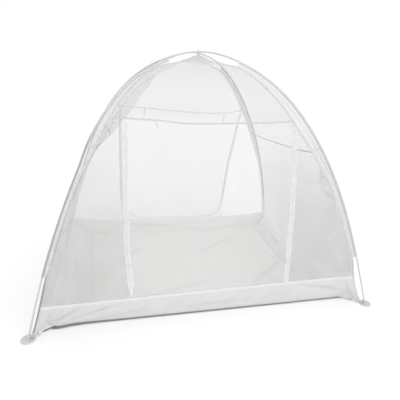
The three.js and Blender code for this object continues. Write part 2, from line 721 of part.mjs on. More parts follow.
// Back side: its seam, and the zip that runs down, along above the skirt and up again.
const BACK_SEAM = [
  [-590, 1122], [-450, 1116], [-319, 1111], [-150, 1103], [135, 1098], [350, 1111], [468, 1132],
  [578, 1148],
];
const BACK_ZIP = {
  places: [
    [466, 1112], [453, 1012], [448, 650], [447, 298], [438, 220], [403, 165], [314, 134], [0, 128],
    [-300, 134], [-410, 168], [-470, 215], [-488, 300], [-497, 600], [-505, 1011], [-506, 1096],
  ],
  width: 20,
};
add("back_seam_tape", "tape", wallTape("back", BACK_SEAM, { width: FRONT_SEAM_WIDTH }));
add("back_zip_tape", "zip", wallTape("back", BACK_ZIP.places, BACK_ZIP));

// Short sides: one level seam each, a little lower than the others.
const SIDE_SEAM = [[-498, 908], [-398, 907], [-319, 910], [-234, 917], [-44, 928], [117, 939], [470, 958]];
const SIDE_SEAM_OFF = { left: 2.4, right: TAPE_STAND_OFF };
for (const [name, off] of Object.entries(SIDE_SEAM_OFF)) {
  add(`seam_tape_${name}`, "tape", wallTape(name, SIDE_SEAM, { width: 10, off }));
}

// ------------------------------------------------------------ small sewn-on pieces
// A piece set square on a wall, its own x along the wall, y up it and z out of it.
function setOnWall(geometry, name, place, height, off) {
  const { point, normal } = onWall(name, place, height);
  const sideways = UP.clone().cross(normal).normalize();
  const upward = normal.clone().cross(sideways);
  point.addScaledVector(normal, off);
  return geometry.applyMatrix4(new THREE.Matrix4().makeBasis(sideways, upward, normal).setPosition(point));
}

const SLIDER = { width: 13, height: 24, thick: 6, corner: 3.5, bevel: 0.8, place: -486, z: 192 };
const PULL = { width: 6, height: 24, thick: 2, corner: 2 };

function slider() {
  const { width, height, thick, corner } = SLIDER;
  const plate = (w, h, r) => roundedFrame(w, h, r, new THREE.Shape());
  const edge = { bevelSize: SLIDER.bevel, bevelThickness: SLIDER.bevel, bevelSegments: 2 };
  const settings = (depth) => ({ depth, curveSegments: 4, bevelEnabled: true, ...edge });
  const core = thick - 2 * SLIDER.bevel;
  const body = new THREE.ExtrudeGeometry(plate(width, height, corner), settings(core));
  const pull = new THREE.ExtrudeGeometry(plate(PULL.width, PULL.height, PULL.corner), settings(PULL.thick));
  pull.translate(0, -height / 2 - PULL.height / 3, 1);
  return geometryOf(solidOf(body).add(solidOf(pull)));
}
const SLIDER_OFF = LEFT_ZIP.off + TAPE_THICK / 2 + GAP + SLIDER.bevel + 0.1;
add("zip_slider", "foot", setOnWall(slider(), "front", SLIDER.place, SLIDER.z, SLIDER_OFF));

// The tie-back tab is a narrow loop of tape that hangs below the front seam and holds a ring.
const TAB = { place: -326, top: 1045, width: 12, length: 34, depth: 3.2, thick: 1 };
const RING = { radius: 9, wire: 1.2, sag: 2.9 }; // sag: how far it dips across the tab's width
const TAB_OFF = TAPE_STAND_OFF + TAPE_THICK / 2 + GAP + TAB.depth / 2 + TAB.thick + 0.3;
const tab = loopOfTape({ width: TAB.width, inner: [TAB.depth, TAB.length], thick: TAB.thick, corner: 1.4 });
tab.rotateY(Math.PI / 2);
tab.translate(0, -TAB.length / 2, 0);
add("tie_tab", "tape", setOnWall(tab, "front", TAB.place, TAB.top, TAB_OFF));
const ring = new THREE.TorusGeometry(RING.radius, RING.wire, 8, 28);
ring.translate(0, -TAB.length - RING.radius + RING.wire + GAP + RING.sag, 0);
add("tie_ring", "foot", setOnWall(ring, "front", TAB.place, TAB.top, TAB_OFF));

// Two long flat tabs hang below the back seam.
const FLAT_TABS = [
  { name: "back_tab_left", place: -328, top: 1104, length: 48, width: 15, off: TAPE_STAND_OFF },
  { name: "back_tab_right", place: 306, top: 1098, length: 54, width: 15, off: 2.55 },
];
for (const { name, place, top, length, width, off } of FLAT_TABS) {
  const places = [[place, top], [place, top - length]];
  add(name, "tape", wallTape("back", places, { width, off, spacing: 25 }));
}

// A small white tag sewn flat to the front right sleeve's fin where the right seam meets it.
const TAG_SIDE = 1; // the face of the fin that looks towards the door
const TAG = { t: [0.492, 0.498], from: 7.5, to: 0.5, thick: 0.9 };

function sleeveTag() {
  const out = SLEEVE.finHalf + GAP + TAG.thick / 2;
  const rows = TAG.t.map((t) => {
    const frame = legFrame("fr", t);
    const fin = insetAt("fr", t) - BINDING.half - GAP;
    const reaches = [TAG.from, (TAG.from + fin) / 2, fin - TAG.to];
    return reaches.map((reach) => inFrame(frame, reach, out * TAG_SIDE));
  });
  return sheet(rows, TAG.thick);
}
add("sleeve_tag", "tape", sleeveTag());

// The cloth patch that backs the right wall beside its front sleeve, curved along its foot.
const PATCH = {
  rail: [634, 650, 672, 700, 740, 780, 806],
  z: [642, 652, 668, 700, 740, 780, 804],
  out: [-560, -515, -458, -460, -476, -496, -512],
};
const PATCH_CLEAR = 9;
const PATCH_OFF = 1.7;

function cornerPatch() {
  const rows = PATCH.rail.map((low, i) => {
    const rail = onWall("right", -HALF_SHORT, low).point.y + PATCH_CLEAR;
    return [0, 0.5, 1].map((share) => {
      const height = lerp(low, PATCH.z[i], share);
      const { point, normal } = onWall("right", lerp(rail, PATCH.out[i], share), height);
      return point.addScaledVector(normal, PATCH_OFF);
    });
  });
  return sheet(rows, TAPE_THICK);
}
add("corner_patch", "cloth", cornerPatch());

// ------------------------------------------------------------ straps from hem corners to feet
const STRAP = { width: 26, thick: 1.6, low: 4.5, over: 8.4, end: 9.6, start: 3 };

function strap(leg) {
  const footAt = vec(...LEGS[leg].foot, 0);
  const away = LEGS[leg].hem.clone().setZ(0).sub(footAt);
  const length = away.length();
  away.normalize();
  const side = away.clone().cross(UP);
  const marks = [
    [length - STRAP.start, STRAP.low],
    [FOOT.radius + 6, STRAP.low + 1.2],
    [FOOT.radius - 1, STRAP.over],
    [FOOT.radius - FOOT.rim, STRAP.over],
    [STRAP.end + 4, STRAP.over],
  ];
  const rows = marks.map(([out, z]) =>
    [-0.5, 0, 0.5].map((share) =>
      footAt.clone().addScaledVector(away, out).addScaledVector(side, share * STRAP.width).setZ(z),
    ),
  );
  return sheet(rows, STRAP.thick);
}
for (const leg of Object.keys(LEGS)) add(`strap_${leg}`, "tape", strap(leg));

net.position.y = CENTRE_SHIFT;

export default net;
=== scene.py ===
# A pop-up mosquito net over a bed. Two long springy poles cross at the crown and stand in four
# round feet. A dome of four net walls hangs inside them, held by cloth sleeves, with a cloth
# skirt round its foot, a groundsheet, and a zipped door in the long side that faces -Y.
# Metres, +Z up, x along the long side.
import math

import bmesh
import bpy
import numpy as np
from mathutils import Matrix, Vector


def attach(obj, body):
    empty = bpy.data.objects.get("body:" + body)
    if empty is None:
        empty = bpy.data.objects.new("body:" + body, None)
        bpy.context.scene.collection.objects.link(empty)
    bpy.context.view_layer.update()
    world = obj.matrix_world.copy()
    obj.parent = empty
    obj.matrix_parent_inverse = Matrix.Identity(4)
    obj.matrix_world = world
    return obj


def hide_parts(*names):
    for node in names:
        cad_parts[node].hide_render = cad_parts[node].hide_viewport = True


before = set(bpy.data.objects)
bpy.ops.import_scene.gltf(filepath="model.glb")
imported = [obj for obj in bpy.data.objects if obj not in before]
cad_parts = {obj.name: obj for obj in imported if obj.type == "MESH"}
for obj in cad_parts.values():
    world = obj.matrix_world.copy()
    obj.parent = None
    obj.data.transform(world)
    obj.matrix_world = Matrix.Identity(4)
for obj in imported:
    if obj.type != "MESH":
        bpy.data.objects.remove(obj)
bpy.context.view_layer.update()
scene = bpy.context.scene


# ---------------------------------------------------------------- camera
# The view from a step or two in front of the door's left side, at chest height, looking a little
# down and to the right.
EYE = Vector((-0.5807, -2.2478, 1.1278))
YAW, PITCH, ROLL = (math.radians(angle) for angle in (15.66, 15.40, 3.26))
LENS_MM = 29.69
FILM_MM = 36.0

forward = Vector((math.sin(YAW) * math.cos(PITCH), math.cos(YAW) * math.cos(PITCH), -math.sin(PITCH)))
level = Vector((math.cos(YAW), -math.sin(YAW), 0))
upright = level.cross(forward)
rightward = level * math.cos(ROLL) + upright * math.sin(ROLL)
upward = upright * math.cos(ROLL) - level * math.sin(ROLL)

camera = bpy.data.objects.new("camera", bpy.data.cameras.new("camera"))
camera.data.lens = LENS_MM
camera.data.sensor_width = FILM_MM
camera.data.clip_start = 0.05
camera.data.clip_end = 200
camera.matrix_world = Matrix(
    [(rightward[i], upward[i], -forward[i], EYE[i]) for i in range(3)] + [(0, 0, 0, 1)]
)
scene.collection.objects.link(camera)
scene.camera = camera
scene.view_settings.view_transform = "Standard"


# ---------------------------------------------------------------- studio
# A pale floor that runs on into a white surround. The surround gives most of the light, and one
# wide lamp high on the right gives the cloth its soft shading.
class Wire:
    """One socket of a finish's nodes. Arithmetic on it adds the Math nodes."""

    def __init__(self, tree, socket):
        self.tree = tree
        self.socket = socket

    @staticmethod
    def node(tree, kind, settings=None, inputs=None, output=0):
        """A node of any kind: its settings first, then the values or links of its sockets."""
        made = tree.nodes.new("ShaderNode" + kind)
        for key, value in (settings or {}).items():
            setattr(made, key, value)
        for key, value in (inputs or {}).items():
            if isinstance(value, Wire):
                tree.links.new(value.socket, made.inputs[key])
            else:
                made.inputs[key].default_value = value
        return Wire(tree, made.outputs[output] if made.outputs else None)

    def maths(self, operation, *values):
        return Wire.node(self.tree, "Math", {"operation": operation}, dict(enumerate(values)))

    def __add__(self, other):
        return self.maths("ADD", self, other)

    def __sub__(self, other):
        return self.maths("SUBTRACT", self, other)

    def __rsub__(self, other):
        return self.maths("SUBTRACT", other, self)

    def __mul__(self, other):
        return self.maths("MULTIPLY", self, other)

    def __rtruediv__(self, other):
        return self.maths("DIVIDE", other, self)

    __radd__ = __add__
    __rmul__ = __mul__

    def wave(self, pitch):
        """1 on each line of a row of lines this far apart, and 0 half way between two."""
        return self.maths("COSINE", self * (2 * math.pi / pitch)) * 0.5 + 0.5

    def rise(self, low, high):
        """0 below low and 1 above high, with a soft step between them."""
        limits = {"From Min": low, "From Max": high}
        settings = {"interpolation_type": "SMOOTHSTEP"}
        return Wire.node(self.tree, "MapRange", settings, {"Value": self, **limits})

    def blend(self, first, second):
        """first where this is 0 and second where it is 1, both colours."""
        sockets = {0: self, 6: first, 7: second}
        return Wire.node(self.tree, "Mix", {"data_type": "RGBA"}, sockets, output=2)


WHITE = (1, 1, 1, 1)
SKY_LIGHT = 0.98
FLOOR_COLOUR = (1, 1, 1, 1)
FLOOR_GLOW = 0.06  # added where the floor is looked at, so that it runs into the white surround
FLOOR_HALF = 40.0
FLOOR_DROP = 0.0002  # keeps the floor just clear of what stands on it


def seen_directly(tree):
    """1 for what the camera, a gloss or a clear surface looks at, and 0 for light on its way."""
    rays = [
        Wire.node(tree, "LightPath", output=name)
        for name in ("Is Camera Ray", "Is Glossy Ray", "Is Transmission Ray")
    ]
    return rays[0].maths("MAXIMUM", rays[0].maths("MAXIMUM", rays[0], rays[1]), rays[2])


world = bpy.data.worlds.new("surround")
world.use_nodes = True
tree = world.node_tree
tree.nodes.clear()
dim = Wire.node(tree, "Background", None, {"Color": WHITE, "Strength": SKY_LIGHT})
plain = Wire.node(tree, "Background", None, {"Color": WHITE, "Strength": 1.0})
both = Wire.node(tree, "MixShader", None, {0: seen_directly(tree), 1: dim, 2: plain})
Wire.node(tree, "OutputWorld", None, {"Surface": both})
scene.world = world

floor_finish = bpy.data.materials.new("studio_floor")
floor_finish.use_nodes = True
tree = floor_finish.node_tree
tree.nodes.clear()
matt = Wire.node(tree, "BsdfDiffuse", None, {"Color": FLOOR_COLOUR})
glow = Wire.node(tree, "Emission", None, {"Color": WHITE, "Strength": seen_directly(tree) * FLOOR_GLOW})
both = Wire.node(tree, "AddShader", None, {0: matt, 1: glow})
Wire.node(tree, "OutputMaterial", None, {"Surface": both})

floor_mesh = bpy.data.meshes.new("studio_floor")
floor_mesh.from_pydata(
    [(x * FLOOR_HALF, y * FLOOR_HALF, -FLOOR_DROP) for x, y in ((-1, -1), (1, -1), (1, 1), (-1, 1))],
    [],
    [(0, 1, 2, 3)],
)
floor_mesh.materials.append(floor_finish)
studio_floor = bpy.data.objects.new("studio_floor", floor_mesh)
scene.collection.objects.link(studio_floor)

LAMP_PLACE = Vector((2.6, -2.8, 4.2))
LAMP_AIM = Vector((0, 0, 0.5))
LAMP_SIZE = 3.4
LAMP_WATTS = 15

lamp = bpy.data.lights.new("high_lamp", "AREA")
lamp.shape = "DISK"
lamp.size = LAMP_SIZE
lamp.energy = LAMP_WATTS
lamp_holder = bpy.data.objects.new("high_lamp", lamp)
lamp_holder.location = LAMP_PLACE
lamp_holder.rotation_euler = (LAMP_AIM - LAMP_PLACE).to_track_quat("-Z", "Y").to_euler()
scene.collection.objects.link(lamp_holder)


# ---------------------------------------------------------------- poles
# Two springy rods in a pale plastic skin, each bent from one front foot over the crown to the
# opposite back foot. One passes over the other, and a loop of tape holds them together there.
SHIFT_Y = 0.018
CROWN = (-0.009, -0.004, 1.482)
POLE_END_ANGLE = math.radians(69.3)
POLE_RADIUS = 0.0044
CROSS_LIFT = 0.0047
CROSS_FROM = 0.85
DIP_FROM = 0.64
KNEE = dict(at=0.41, below=0.34, above=0.10)
LEGS = {
    "fl": dict(foot=(-0.982, -0.746), bow=0.010, swing=0.0, knee=0.015, over=-1, dip=0.028, seam_rise=0.003),
    "fr": dict(foot=(0.957, -0.771), bow=-0.006, swing=0.003, knee=0.0, over=1, dip=0.006, seam_rise=0.0165),
    "br": dict(foot=(0.980, 0.735), bow=-0.004, swing=0.023, knee=0.0, over=-1, dip=0.0, seam_rise=0.0),
    "bl": dict(foot=(-0.980, 0.735), bow=0.004, swing=-0.021, knee=0.0, over=1, dip=0.0, seam_rise=0.0),
}
REACH = math.hypot(*LEGS["br"]["foot"])


def bent_rod(steps=480):
    """Run from the crossing, rise and share of the length from the foot of half a bent rod."""
    k = math.sin(POLE_END_ANGLE / 2)
    step = math.pi / 2 / steps
    phi = (np.arange(steps) + 0.5) * step
    delta = np.sqrt(1 - (k * np.sin(phi)) ** 2)
    run = np.concatenate([[0], np.cumsum(step * (2 * delta - 1 / delta))])
    rise = 2 * k * np.cos(np.arange(steps + 1) * step)
    run = (run * REACH / run[-1])[::-1]
    rise = (rise * CROWN[2] / (2 * k))[::-1]
    share = np.concatenate([[0], np.cumsum(np.hypot(np.diff(run), np.diff(rise)))])
    return run, rise, share / share[-1]


ROD_RUN, ROD_RISE, ROD_SHARE = bent_rod()


def smooth_step(x, low, high):
    s = np.clip((x - low) / (high - low), 0, 1)
    return s * s * (3 - 2 * s)


def pole_point(leg, t):
    """Middle of a leg's pole at shares t of its length, from the foot to the crossing."""
    t = np.asarray(t, float)
    row = LEGS[leg]
    rise = np.interp(t, ROD_SHARE, ROD_RISE)
    out = np.interp(t, ROD_SHARE, ROD_RUN)
    out = out + row["bow"] * np.sin(math.pi * t) + row["swing"] * np.sin(2 * math.pi * t)
    from_knee = (t - KNEE["at"]) / np.where(t < KNEE["at"], KNEE["below"], KNEE["above"])
    out = out - row["knee"] * np.cos(math.pi / 2 * np.clip(from_knee, -1, 1)) ** 2
    lean = rise / CROWN[2]
    lift = row["over"] * CROSS_LIFT * smooth_step(t, CROSS_FROM, 1)
    press = row["dip"] * np.sin(math.pi * np.clip((t - DIP_FROM) / (1 - DIP_FROM), 0, 1)) ** 2
    x = row["foot"][0] * out / REACH + CROWN[0] * lean
    y = row["foot"][1] * out / REACH + CROWN[1] * lean + SHIFT_Y
    return np.stack([x, y, rise + lift - press], -1)


def unit(v):
    return v / np.linalg.norm(v, axis=-1, keepdims=True)


def to_middle(leg):
    return unit(np.array([-LEGS[leg]["foot"][0], -LEGS[leg]["foot"][1], 0.0]))


def leg_frame(leg, t):
    """Places on a leg with the ways along it, in towards the net, and out to its side."""
    t = np.asarray(t, float)
    step = 0.004
    along = unit(pole_point(leg, np.minimum(t + step, 1)) - pole_point(leg, np.maximum(t - step, 0)))
    inward = to_middle(leg)
    flat = along @ inward
    inside = unit(inward * along[..., 2:3] - np.array([0, 0, 1.0]) * flat[..., None])
    return pole_point(leg, t), along, inside, np.cross(inside, along)


def mesh_piece(name, points, faces, cut=None, smooth=True):
    """A piece from points and faces. cut gives each point its place on the flat cloth, in metres."""
    mesh = bpy.data.meshes.new(name)
    mesh.from_pydata(points.tolist(), [], faces)
    mesh.polygons.foreach_set("use_smooth", [smooth] * len(mesh.polygons))
    if cut is not None:
        corners = np.zeros(len(mesh.loops), int)
        mesh.loops.foreach_get("vertex_index", corners)
        layer = mesh.uv_layers.new(name="cut")
        layer.data.foreach_set("uv", cut[corners].ravel())
    mesh.update()
    piece = bpy.data.objects.new(name, mesh)
    scene.collection.objects.link(piece)
    return piece


def grid_faces(rows, columns, closed_rows=False, closed_columns=False):
    """Faces over a grid of points. A closed way runs on from its last line to its first."""
    faces = []
    for i in range(rows if closed_rows else rows - 1):
        here, below = i * columns, (i + 1) % rows * columns
        for j in range(columns if closed_columns else columns - 1):
            k = (j + 1) % columns
            faces.append((here + j, here + k, below + k, below + j))
    return faces


def swept_piece(name, rings, cut_round=0.03):
    """A closed skin through rings of points, with flat ends."""
    count, sides = rings.shape[:2]
    faces = grid_faces(count, sides, closed_columns=True)
    faces.append(tuple(range(sides))[::-1])
    faces.append(tuple((count - 1) * sides + j for j in range(sides)))
    middle = rings.mean(1)
    length = np.concatenate([[0], np.cumsum(np.linalg.norm(np.diff(middle, axis=0), axis=1))])
    across = np.arange(sides) / sides * cut_round
    cut = np.stack(np.broadcast_arrays(across[None, :], length[:, None]), -1)
    return mesh_piece(name, rings.reshape(-1, 3), faces, cut.reshape(-1, 2))


def stand_for(piece, slot, *nodes):
    """The piece shows in place of these solids and rides on the one body."""
    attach(piece, "root")
    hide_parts(*nodes)


def closed_finish(tree, sockets, backlit=0.0):
    """The shader and its end. backlit is the share of the light that thin cloth passes on.

    The light passed on is plain white, and the cloth's tone sets how much of it there is. The
    rest of the light keeps the strength that it would have with an even share.
    """
    if not backlit:
        shader = Wire.node(tree, "BsdfPrincipled", None, sockets)
    else:
        tone = sockets["Base Color"]
        passed = tone * backlit
        kept = (1 - backlit) / (1 - passed)
        front = Wire.node(tree, "VectorMath", {"operation": "SCALE"}, {0: tone, "Scale": kept})
        shader = Wire.node(tree, "BsdfPrincipled", None, {**sockets, "Base Color": front})
        behind = Wire.node(tree, "BsdfTranslucent", None, {"Color": WHITE})
        shader = Wire.node(tree, "MixShader", None, {0: passed, 1: shader, 2: behind})
    Wire.node(tree, "OutputMaterial", None, {"Surface": shader})


def new_finish(name):
    made = bpy.data.materials.new(name)
    made.use_nodes = True
    made.node_tree.nodes.clear()
    return made, made.node_tree


def grain(tree, scale, detail=3.0, rough=0.5):
    """Cloudy variation from 0 to 1 with this many clouds to the metre."""
    place = Wire.node(tree, "TexCoord", output="Object")
    sockets = {"Vector": place, "Scale": scale, "Detail": detail, "Roughness": rough}
    return Wire.node(tree, "TexNoise", None, sockets)


POLE_SIDES = 16
POLE_STEPS = 150
POLE_START = 0.0035  # share of the leg where the rod's end sits in its cup
POLE_TINT = [(0.60, 0.60, 0.59, 1), (0.70, 0.70, 0.69, 1)]

pole_finish, tree = new_finish("pole_skin")
streak = Wire.node(tree, "UVMap", {"uv_map": "cut"})
streak = Wire.node(tree, "VectorMath", {"operation": "MULTIPLY"}, {0: streak, 1: (260, 6, 1)})
streak = Wire.node(tree, "TexNoise", None, {"Vector": streak, "Scale": 1.0, "Detail": 2.0})
relief = Wire.node(tree, "Bump", None, {"Strength": 0.15, "Distance": 0.0004, "Height": streak})
closed_finish(tree, {
    "Base Color": streak.rise(0.3, 0.7).blend(*POLE_TINT),
    "Roughness": streak * 0.2 + 0.32,
    "Normal": relief,
})


def pole(name, legs):
    angles = (np.arange(POLE_SIDES) + 0.5) * 2 * math.pi / POLE_SIDES
    rings = []
    for leg, turn in zip(legs, (1, -1)):
        t = np.linspace(POLE_START, 1, POLE_STEPS)
        at, _, inside, side = leg_frame(leg, t)
        a = (np.cos(angles) * POLE_RADIUS)[None, :, None]
        b = (np.sin(turn * angles) * POLE_RADIUS)[None, :, None]
        rings.append(at[:, None] + inside[:, None] * a + side[:, None] * b)
    piece = swept_piece(name, np.concatenate([rings[0], rings[1][-2::-1]]))
    piece.data.materials.append(pole_finish)
    return piece


for node, legs in (
    ("pole_front_left_to_back_right", ("fl", "br")),
    ("pole_front_right_to_back_left", ("fr", "bl")),
):
    stand_for(pole(node.replace("pole", "rod"), legs), "pole", node)


# ---------------------------------------------------------------- feet
# Moulded plastic discs, dished on top inside a raised rim, with a leaning cup that holds the
# pole's end. They lie flat on the ground.
FOOT_PROFILE = [
    # radius, height
    (0.0, 0.0), (0.0318, 0.0), (0.0332, 0.0006), (0.0340, 0.0018), (0.0340, 0.0052),
    (0.0334, 0.0064), (0.0322, 0.0070), (0.0288, 0.0070), (0.0276, 0.0066), (0.0264, 0.0050),
    (0.0252, 0.0045), (0.0110, 0.0045),
]
CUP_PROFILE = [
    (0.0094, 0.0010), (0.0090, 0.0065), (0.0083, 0.0095), (0.0080, 0.0230), (0.0076, 0.0241),
    (0.0060, 0.0242), (0.0050, 0.0236), (0.0050, 0.0060), (0.0, 0.0060),
]
FOOT_SIDES = 64
CUP_T = 0.004  # share of the leg where the cup takes its lean

foot_finish, tree = new_finish("moulded_foot")
speck = grain(tree, 900, 2.0)
cloud = grain(tree, 60, 3.0)
relief = Wire.node(tree, "Bump", None, {"Strength": 0.25, "Distance": 0.0002, "Height": speck})
closed_finish(tree, {
    "Base Color": cloud.rise(0.3, 0.7).blend((0.62, 0.62, 0.60, 1), (0.70, 0.70, 0.685, 1)),
    "Roughness": speck * 0.2 + 0.38,
    "Normal": relief,
})


def weld(piece, distance):
    """Joins points that fall together, so that rings of no width close, and turns the faces outwards."""
    shape = bmesh.new()
    shape.from_mesh(piece.data)
    bmesh.ops.remove_doubles(shape, verts=shape.verts, dist=distance)
    bmesh.ops.recalc_face_normals(shape, faces=shape.faces)
    shape.to_mesh(piece.data)
    shape.free()


def foot(leg):
    turn = np.arange(FOOT_SIDES) * 2 * math.pi / FOOT_SIDES
    middle = np.array([LEGS[leg]["foot"][0], LEGS[leg]["foot"][1] + SHIFT_Y, 0.0])
    _, along, _, side = (value[0] for value in leg_frame(leg, np.array([CUP_T])))
    base = pole_point(leg, 0.0)
    rings = []
    for radius, height in FOOT_PROFILE:
        ring = np.stack([np.cos(turn) * radius, np.sin(turn) * radius, np.full(FOOT_SIDES, height)], -1)
        rings.append(middle + ring)
    for radius, height in CUP_PROFILE:
        ring = np.cos(turn)[:, None] * side + np.sin(turn)[:, None] * np.cross(along, side)
        rings.append(base + along * height + ring * radius)
    faces = grid_faces(len(rings), FOOT_SIDES, closed_columns=True)
    piece = mesh_piece(f"disc_{leg}", np.concatenate(rings), faces)
    weld(piece, 1e-6)
    piece.data.materials.append(foot_finish)
    return piece


for leg in LEGS:
    stand_for(foot(leg), "hard_trim", f"foot_{leg}")


# ---------------------------------------------------------------- net walls
# Four panels of fine white polyester net, sewn to the bindings at their edges. They sag in
# between the poles, most in the upper half, and hang in soft creases from the corners.
SEAM_T = 0.0755
WALL_TOP_T = 0.931
EDGE_REACH = 0.14
INSETS = {
    "fl": ([0, 0.03, 0.08, 0.153, 0.25, 0.35, 0.41, 0.462, 0.584, 0.695, 0.8, 0.86, 0.93, 0.95, 1],
           [0.012, 0.022, 0.024, 0.020, 0.018, 0.018, 0.023, 0.041, 0.056, 0.050, 0.042, 0.046, 0.039,
            0.032, 0.011]),
    "fr": ([0, 0.006, 0.03, 0.063, 0.104, 0.15, 0.35, 0.41, 0.462, 0.584, 0.695, 0.8, 0.83, 0.92, 1],
           [0.014, 0.020, 0.037, 0.041, 0.035, 0.024, 0.033, 0.040, 0.053, 0.060, 0.050, 0.034,
            0.030, 0.048, 0.011]),
    "br": ([0, 0.03, 0.08, 0.153, 0.35, 0.462, 0.584, 0.695, 0.8, 0.86, 0.92, 1],
           [0.013, 0.028, 0.031, 0.026, 0.033, 0.050, 0.057, 0.050, 0.038, 0.036, 0.048, 0.011]),
}
INSETS["bl"] = INSETS["br"]
SHORT_WALL = dict(
    pull=0.0033, flat=(1.46, 1.62), area=1.50,
    z=[0.137, 0.300, 0.500, 0.700, 0.850, 0.912, 1.013, 1.126, 1.239, 1.360, 1.425],
    sag=[0.060, 0.030, 0.015, 0.015, 0.022, 0.049, 0.083, 0.097, 0.083, 0.018, 0],
    droop=[0.045, 0.015, 0.005, 0, 0, 0, 0, 0, 0, 0, 0],
)
WALLS = {
    "front": dict(
        legs=("fl", "fr"), inward=(0, 1, 0), pull=0.0047,
        z=[0.137, 0.300, 0.500, 0.700, 0.900, 1.075, 1.180, 1.290, 1.380, 1.425],
        sag=[0.012, 0.025, 0.040, 0.060, 0.085, 0.108, 0.112, 0.085, 0.025, 0],
        droop=[0.002, 0.005, 0.008, 0.012, 0.025, 0.038, 0.030, 0.012, 0.003, 0],
        edge_u=[0, 0.1, 0.5, 0.9, 1], edge_sag=[0, 0.008, 0.012, 0.008, 0],
        edge_droop=[0, 0.005, 0.004, 0, 0],
        flat=(1.92, 1.52), area=1.80, rests_on=["edge_binding_fl", "edge_binding_fr", "doubled_cap"],
    ),
    "right": dict(
        legs=("fr", "br"), inward=(-1, 0, 0), **SHORT_WALL,
        edge_u=[0, 0.068, 0.111, 0.165, 0.25, 0.4, 0.5, 0.6, 0.72, 0.865, 1],
        edge_sag=[0, 0.058, 0.056, 0.050, 0.043, 0.047, 0.048, 0.043, 0.033, 0.003, 0],
        edge_droop=[0, 0.028, 0.038, 0.043, 0.047, 0.046, 0.043, 0.038, 0.028, 0.013, 0],
        rests_on=["edge_binding_fr", "edge_binding_br", "doubled_cap"],
    ),
    "back": dict(
        legs=("br", "bl"), inward=(0, -1, 0), pull=0.0047,
        z=[0.137, 0.300, 0.500, 0.700, 0.900, 1.100, 1.200, 1.300, 1.390, 1.425],
        sag=[0.040, 0.045, 0.055, 0.070, 0.090, 0.105, 0.105, 0.075, 0.020, 0],
        droop=[0.020, 0.010, 0.008, 0.012, 0.020, 0.032, 0.020, 0.008, 0, 0],
        edge_u=[0, 0.15, 0.5, 0.85, 1], edge_sag=[0, 0.028, 0.042, 0.028, 0],
        edge_droop=[0, 0.018, 0.026, 0.018, 0],
        flat=(1.92, 1.52), area=1.85, rests_on=["edge_binding_br", "edge_binding_bl", "doubled_cap"],
    ),
    "left": dict(
        legs=("bl", "fl"), inward=(1, 0, 0), **SHORT_WALL,
        edge_u=[0, 0.11, 0.38, 0.56, 0.76, 0.92, 1],
        edge_sag=[0, -0.015, 0.014, 0.034, 0.031, 0.033, 0],
        edge_droop=[0, 0.020, 0.034, 0.037, 0.037, 0.034, 0],
        rests_on=["edge_binding_bl", "edge_binding_fl", "doubled_cap"],
    ),
}


def through(xs, ys, x):
    """A smooth curve through a short table that never overshoots between two of its rows."""
    xs, ys = np.array(xs, float), np.array(ys, float)
    x = np.clip(x, xs[0], xs[-1])
    width = np.diff(xs)
    slope = np.diff(ys) / width
    tangent = np.zeros(len(xs))
    tangent[0], tangent[-1] = slope[0], slope[-1]
    for i in range(1, len(xs) - 1):
        before, after = slope[i - 1], slope[i]
        tangent[i] = 0 if before * after <= 0 else 2 * before * after / (before + after)
    i = np.clip(np.searchsorted(xs, x, side="left") - 1, 0, len(slope) - 1)
    s = (x - xs[i]) / width[i]
    start = (1 + 2 * s) * (1 - s) ** 2 * ys[i] + s * (1 - s) ** 2 * width[i] * tangent[i]
    end = s * s * (3 - 2 * s) * ys[i + 1] + s * s * (s - 1) * width[i] * tangent[i + 1]
    return start + end


def rail_point(leg, t):
    """The seam line inside a leg's pole, where net and binding meet."""
    at, _, inside, _ = leg_frame(leg, t)
    return at + inside * through(*INSETS[leg], t)[..., None]


def wall_point(name, u, t):
    """The smooth hang of a wall: u across from its first leg to its second, t up the legs."""
    u, t = np.broadcast_arrays(np.asarray(u, float), np.asarray(t, float))
    row = WALLS[name]
    low = 1 - smooth_step(t, SEAM_T, SEAM_T + EDGE_REACH)
    first, second = (rail_point(leg, t + LEGS[leg]["seam_rise"] * low) for leg in row["legs"])
    chord = unit(second - first)
    height = (first[..., 2] + second[..., 2]) / 2
    first = first + chord * row["pull"]
    second = second - chord * row["pull"]
    bulge = 4 * u * (1 - u)

    def hang(high, edge):
        above = through(row["z"], row[high], height) * bulge
        return above + (through(row["edge_u"], row[edge], u) - above) * low

    point = first + (second - first) * u[..., None]
    point = point + np.array(row["inward"]) * hang("sag", "edge_sag")[..., None]
    point[..., 2] -= hang("droop", "edge_droop")
    return point


def along_axis(name):
    """0 for a wall that runs along x and 1 for one that runs along y."""
    return 1 if WALLS[name]["inward"][0] else 0


def outwards(normal, name):
    """The same normals of a wall, turned out of the dome."""
    return normal * -np.sign((normal * np.array(WALLS[name]["inward"], float)).sum(-1))[..., None]


def normals_of(points, name):
    """Unit normals out of the dome for a grid of points along one of its walls."""
    return outwards(unit(np.cross(np.gradient(points, axis=1), np.gradient(points, axis=0))), name)


def cut_of(points):
    """Places on the flat cloth: distance across and along through the grid, in metres."""
    across = np.linalg.norm(np.diff(points, axis=1), axis=-1)
    along = np.linalg.norm(np.diff(points, axis=0), axis=-1)
    x = np.concatenate([np.zeros((len(points), 1)), np.cumsum(across, 1)], 1)
    y = np.concatenate([np.zeros((1, points.shape[1])), np.cumsum(along, 0)], 0)
    return np.stack([x - x[:, -1:] / 2, y], -1)


def cloth_piece(name, points):
    """A sheet of cloth through a grid of points."""
    faces = grid_faces(*points.shape[:2])
    return mesh_piece(name, points.reshape(-1, 3), faces, cut_of(points).reshape(-1, 2))


def share_of_points(piece, name, values):
    """A number for each point, which a finish reads by this name."""
    layer = piece.data.attributes.new(name, "FLOAT", "POINT")
    layer.data.foreach_set("value", np.ascontiguousarray(values, float).ravel())


